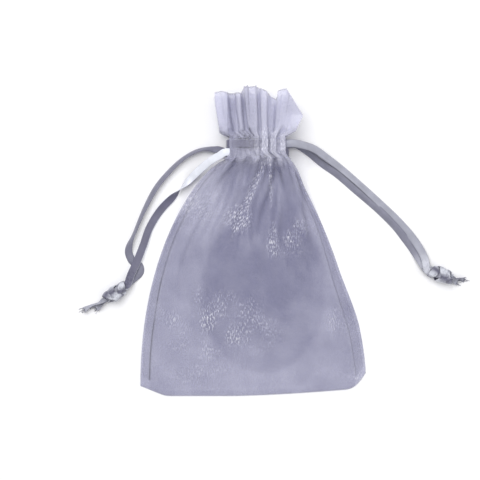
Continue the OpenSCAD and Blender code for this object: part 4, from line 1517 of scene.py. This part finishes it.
class POUCH_OT_knots(bpy.types.Operator):
    """Make both knots and the cut ribbon ends beyond them"""

    bl_idname = "pouch.knots"
    bl_label = "Knots and ends"

    def execute(self, context):
        for side in KNOTS:
            self.knot(side)
            self.tails(side)
        return {"FINISHED"}

    def knot(self, side):
        """An overhand knot pulled tight: crumpled ribbon goes in and comes out along the
        knot's line, on both sides of a thick core, and three turns lie round them. A turn is
        the circle left R cos t, up R sin t, moved along the line by skew times cos(t + lag),
        with small dents that are sines of 3 t and 7 t. The ribbons that go through sway to
        the left as a cosine and up as a sine of the way along, and roll as a sine of it."""
        entry, ahead, left = knot_frame(side)
        up = np.array([0, 0, 1.0])
        length = KNOTS[side]["length"]
        width = sizes().ribbon_width / MM
        random = np.random.default_rng(KNOT_SEEDS[side])
        gathered = Gatherer()
        s = np.linspace(-0.4, length + 0.2, 70)
        for shift, turn in KNOT_THROUGH:
            path = (
                entry + s[:, None] * ahead + (shift * np.cos(s * 0.7))[:, None] * left
                + (0.3 * np.sin(s * 0.9 + shift))[:, None] * up
            )
            narrow = width * (1.0 - 0.2 * smooth(0, 2.5, s) + 0.1 * smooth(length - 2, length, s))
            roll = turn + 70 * np.sin(s * 0.55)
            band = swept_band(path, across_floor(path, roll), narrow, 0.4, cup=0.7)
            # Painted sheen on the face of the ribbons that go through.
            gathered.put(*band[:4], face=0.6 * band[4])
        inner = entry + np.linspace(0.8, length - 1.2, 24)[:, None] * ahead
        core_wide = width * (0.8 + 0.5 * np.sin(np.linspace(0, np.pi, 24)))
        core = swept_band(inner, across_floor(inner, np.zeros(24)), core_wide, KNOT_CORE)
        # Less painted sheen on the core.
        gathered.put(*core[:4], face=0.3 * core[4])
        t = np.linspace(0, 2 * np.pi, 90)
        for place, radius, skew, lag in KNOT_TURNS:
            dents = 1 + 0.1 * np.sin(3 * t + lag * 5) + 0.03 * np.sin(7 * t + lag * 3)
            along = place * length + skew * np.cos(t + lag)
            path = (
                entry + along[:, None] * ahead
                + (radius * dents * np.cos(t))[:, None] * left
                + (radius * 0.92 * dents * np.sin(t))[:, None] * up
            )
            lean = 0.22 * np.sin(2 * t + random.uniform(0, 6))
            radial = np.cos(t)[:, None] * left + np.sin(t)[:, None] * up
            wide = ahead + lean[:, None] * radial
            points, quads, caps, uv, face = swept_band(
                path, wide, width * (1.1 + 0.12 * np.sin(2 * t + lag)), 0.5, cup=-0.5
            )
            # Painted highlights: the sheen on each turn comes and goes in three patches round it.
            patches = 0.42 + 0.4 * np.sin(3 * t + 4 * lag)[:, None]
            gathered.put(points, quads, caps, uv, face * patches)
        piece = gathered.finish(side + "_knot_piece", material_once("polyester_satin", satin), 1.0)
        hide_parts(side + "_knot")
        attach(piece, side + "_drawstring")

    def tails(self, side):
        """The two cut ends beyond the knot: each is a band along a line that droops and
        swings aside, with loose threads at its cut."""
        entry, ahead, left = knot_frame(side)
        start = entry + ahead * (KNOTS[side]["length"] - 0.6)
        reach_out, lean = TAIL_REACH[side]
        random = np.random.default_rng(TAIL_SEEDS[side])
        gathered = Gatherer()
        for share, swing, roll in TAILS:
            reach = reach_out * share
            route = np.array([
                start, start + ahead * reach * 0.3 + [0, 0, -0.5],
                start + ahead * reach * 0.65 + left * lean * swing + [0, 0, -1.4],
                start + ahead * reach + left * lean * swing * 1.4 + [0, 0, -1.8],
            ])
            path = curve_through(route, TAIL_POINTS)
            turned = roll + 50 * np.sin(np.linspace(0, 3, TAIL_POINTS))
            wide = across_floor(path, turned)
            narrow = sizes().ribbon_width / MM * np.linspace(0.7, 0.9, TAIL_POINTS)
            band = swept_band(path, wide, narrow, sizes().ribbon_thickness / MM, cup=0.5)
            # Painted sheen on the face of each cut end.
            gathered.put(*band[:4], face=0.4 * band[4])
            onward = unit(path[-1] - path[-3])
            for place in np.linspace(-1.1, 1.1, 11):
                root = path[-1] + wide[-1] * place - onward * 0.3
                stray = random.normal(0, 0.25, 3)
                tip = root + (onward + stray) * random.uniform(0.9, 2.0)
                ends = np.array([root, (root + tip) / 2 + stray * 0.3, tip])
                ends[:, 2] = np.maximum(ends[:, 2], 0.1)
                fray = curve_through(ends, FRAY_POINTS)
                thread = swept_thread(fray, FRAY_RADIUS, sides=FRAY_SIDES)
                gathered.put(*thread, face=np.zeros(FRAY_POINTS * FRAY_SIDES))
        piece = gathered.finish(side + "_tails", material_once("polyester_satin", satin), 0.5)
        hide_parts(side + "_ribbon_tails")
        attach(piece, side + "_drawstring")


# ---------------------------------------------------------------- stage

# In metres: the camera looks straight down on its centre, and sees that width at the floor.
# A light has its place, its size and its power in watts. The floor's half width and how far
# it lies below zero are in millimetres.
CAMERA_HEIGHT = 0.62
VIEW_WIDTH = 0.192
VIEW_CENTRE = (-0.0052, 0.0012)
LIGHTS = {
    "soft_key": ((-0.22, 0.40, 0.90), 0.8, 7.0),
    "soft_fill": ((0.7, -0.2, 0.8), 0.9, 2.4),
}
WORLD_STRENGTH = 0.47
FLOOR_HALF = 2000
FLOOR_BELOW = 0.05


class POUCH_OT_stage(bpy.types.Operator):
    """Make the camera above the pouch, the pale floor and the soft lights"""

    bl_idname = "pouch.stage"
    bl_label = "Stage"

    def execute(self, context):
        scene = context.scene
        lens = bpy.data.cameras.new("camera")
        lens.sensor_width = 36.0
        lens.lens = lens.sensor_width * CAMERA_HEIGHT / VIEW_WIDTH
        camera = bpy.data.objects.new("camera", lens)
        camera.location = (*VIEW_CENTRE, CAMERA_HEIGHT)
        scene.collection.objects.link(camera)
        scene.camera = camera

        ground = np.array([[-1, -1, 0], [1, -1, 0], [1, 1, 0], [-1, 1, 0]]) * FLOOR_HALF
        floor = mesh_object(
            "floor", ground - [0, 0, FLOOR_BELOW], np.array([[0, 1, 2, 3]]),
            material=material_once("pale_floor", painted_board),
        )

        for name, (place, size, power) in LIGHTS.items():
            light = bpy.data.lights.new(name, "AREA")
            light.size = size
            light.energy = power
            lamp = bpy.data.objects.new(name, light)
            lamp.location = place
            away = np.array(place) / np.linalg.norm(place)
            lamp.rotation_euler = (
                math.acos(away[2]), 0.0, math.atan2(away[1], away[0]) + math.pi / 2
            )
            scene.collection.objects.link(lamp)

        world = bpy.data.worlds.new("studio")
        world.use_nodes = True
        background = world.node_tree.nodes["Background"]
        background.inputs["Color"].default_value = (1.0, 1.0, 1.0, 1.0)
        background.inputs["Strength"].default_value = WORLD_STRENGTH
        scene.world = world
        scene.view_settings.view_transform = "Standard"
        return {"FINISHED"}


class POUCH_PT_panel(bpy.types.Panel):
    """Sizes, colours and the pieces of the pouch"""

    bl_idname = "POUCH_PT_panel"
    bl_label = "Organza pouch"
    bl_space_type = "VIEW_3D"
    bl_region_type = "UI"
    bl_category = "Pouch"

    def draw(self, context):
        column = self.layout.column()
        for group in (context.scene.pouch_sizes, context.scene.pouch_colours):
            for name in group.__annotations__:
                column.prop(group, name)
        for operator in OPERATORS:
            column.operator(operator.bl_idname)


OPERATORS = (
    POUCH_OT_stage,
    POUCH_OT_strands,
    POUCH_OT_knots,
    POUCH_OT_ribbon_runs,
    POUCH_OT_front_cloth,
    POUCH_OT_back_cloth,
    POUCH_OT_seams,
    POUCH_OT_casing_stitches,
)
CLASSES = (PouchSizes, PouchColours, *OPERATORS, POUCH_PT_panel)


def register():
    """Adds the classes, and the sizes and colours to the scene."""
    for one in CLASSES:
        bpy.utils.register_class(one)
    bpy.types.Scene.pouch_sizes = bpy.props.PointerProperty(type=PouchSizes)
    bpy.types.Scene.pouch_colours = bpy.props.PointerProperty(type=PouchColours)


def unregister():
    """Takes them out again."""
    del bpy.types.Scene.pouch_colours
    del bpy.types.Scene.pouch_sizes
    for one in reversed(CLASSES):
        bpy.utils.unregister_class(one)


def main():
    """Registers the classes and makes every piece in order."""
    register()
    bpy.ops.pouch.stage()
    bpy.ops.pouch.knots()
    bpy.ops.pouch.strands()
    bpy.ops.pouch.ribbon_runs()
    bpy.ops.pouch.front_cloth()
    bpy.ops.pouch.back_cloth()
    bpy.ops.pouch.seams()
    bpy.ops.pouch.casing_stitches()


if __name__ == "__main__":
    main()
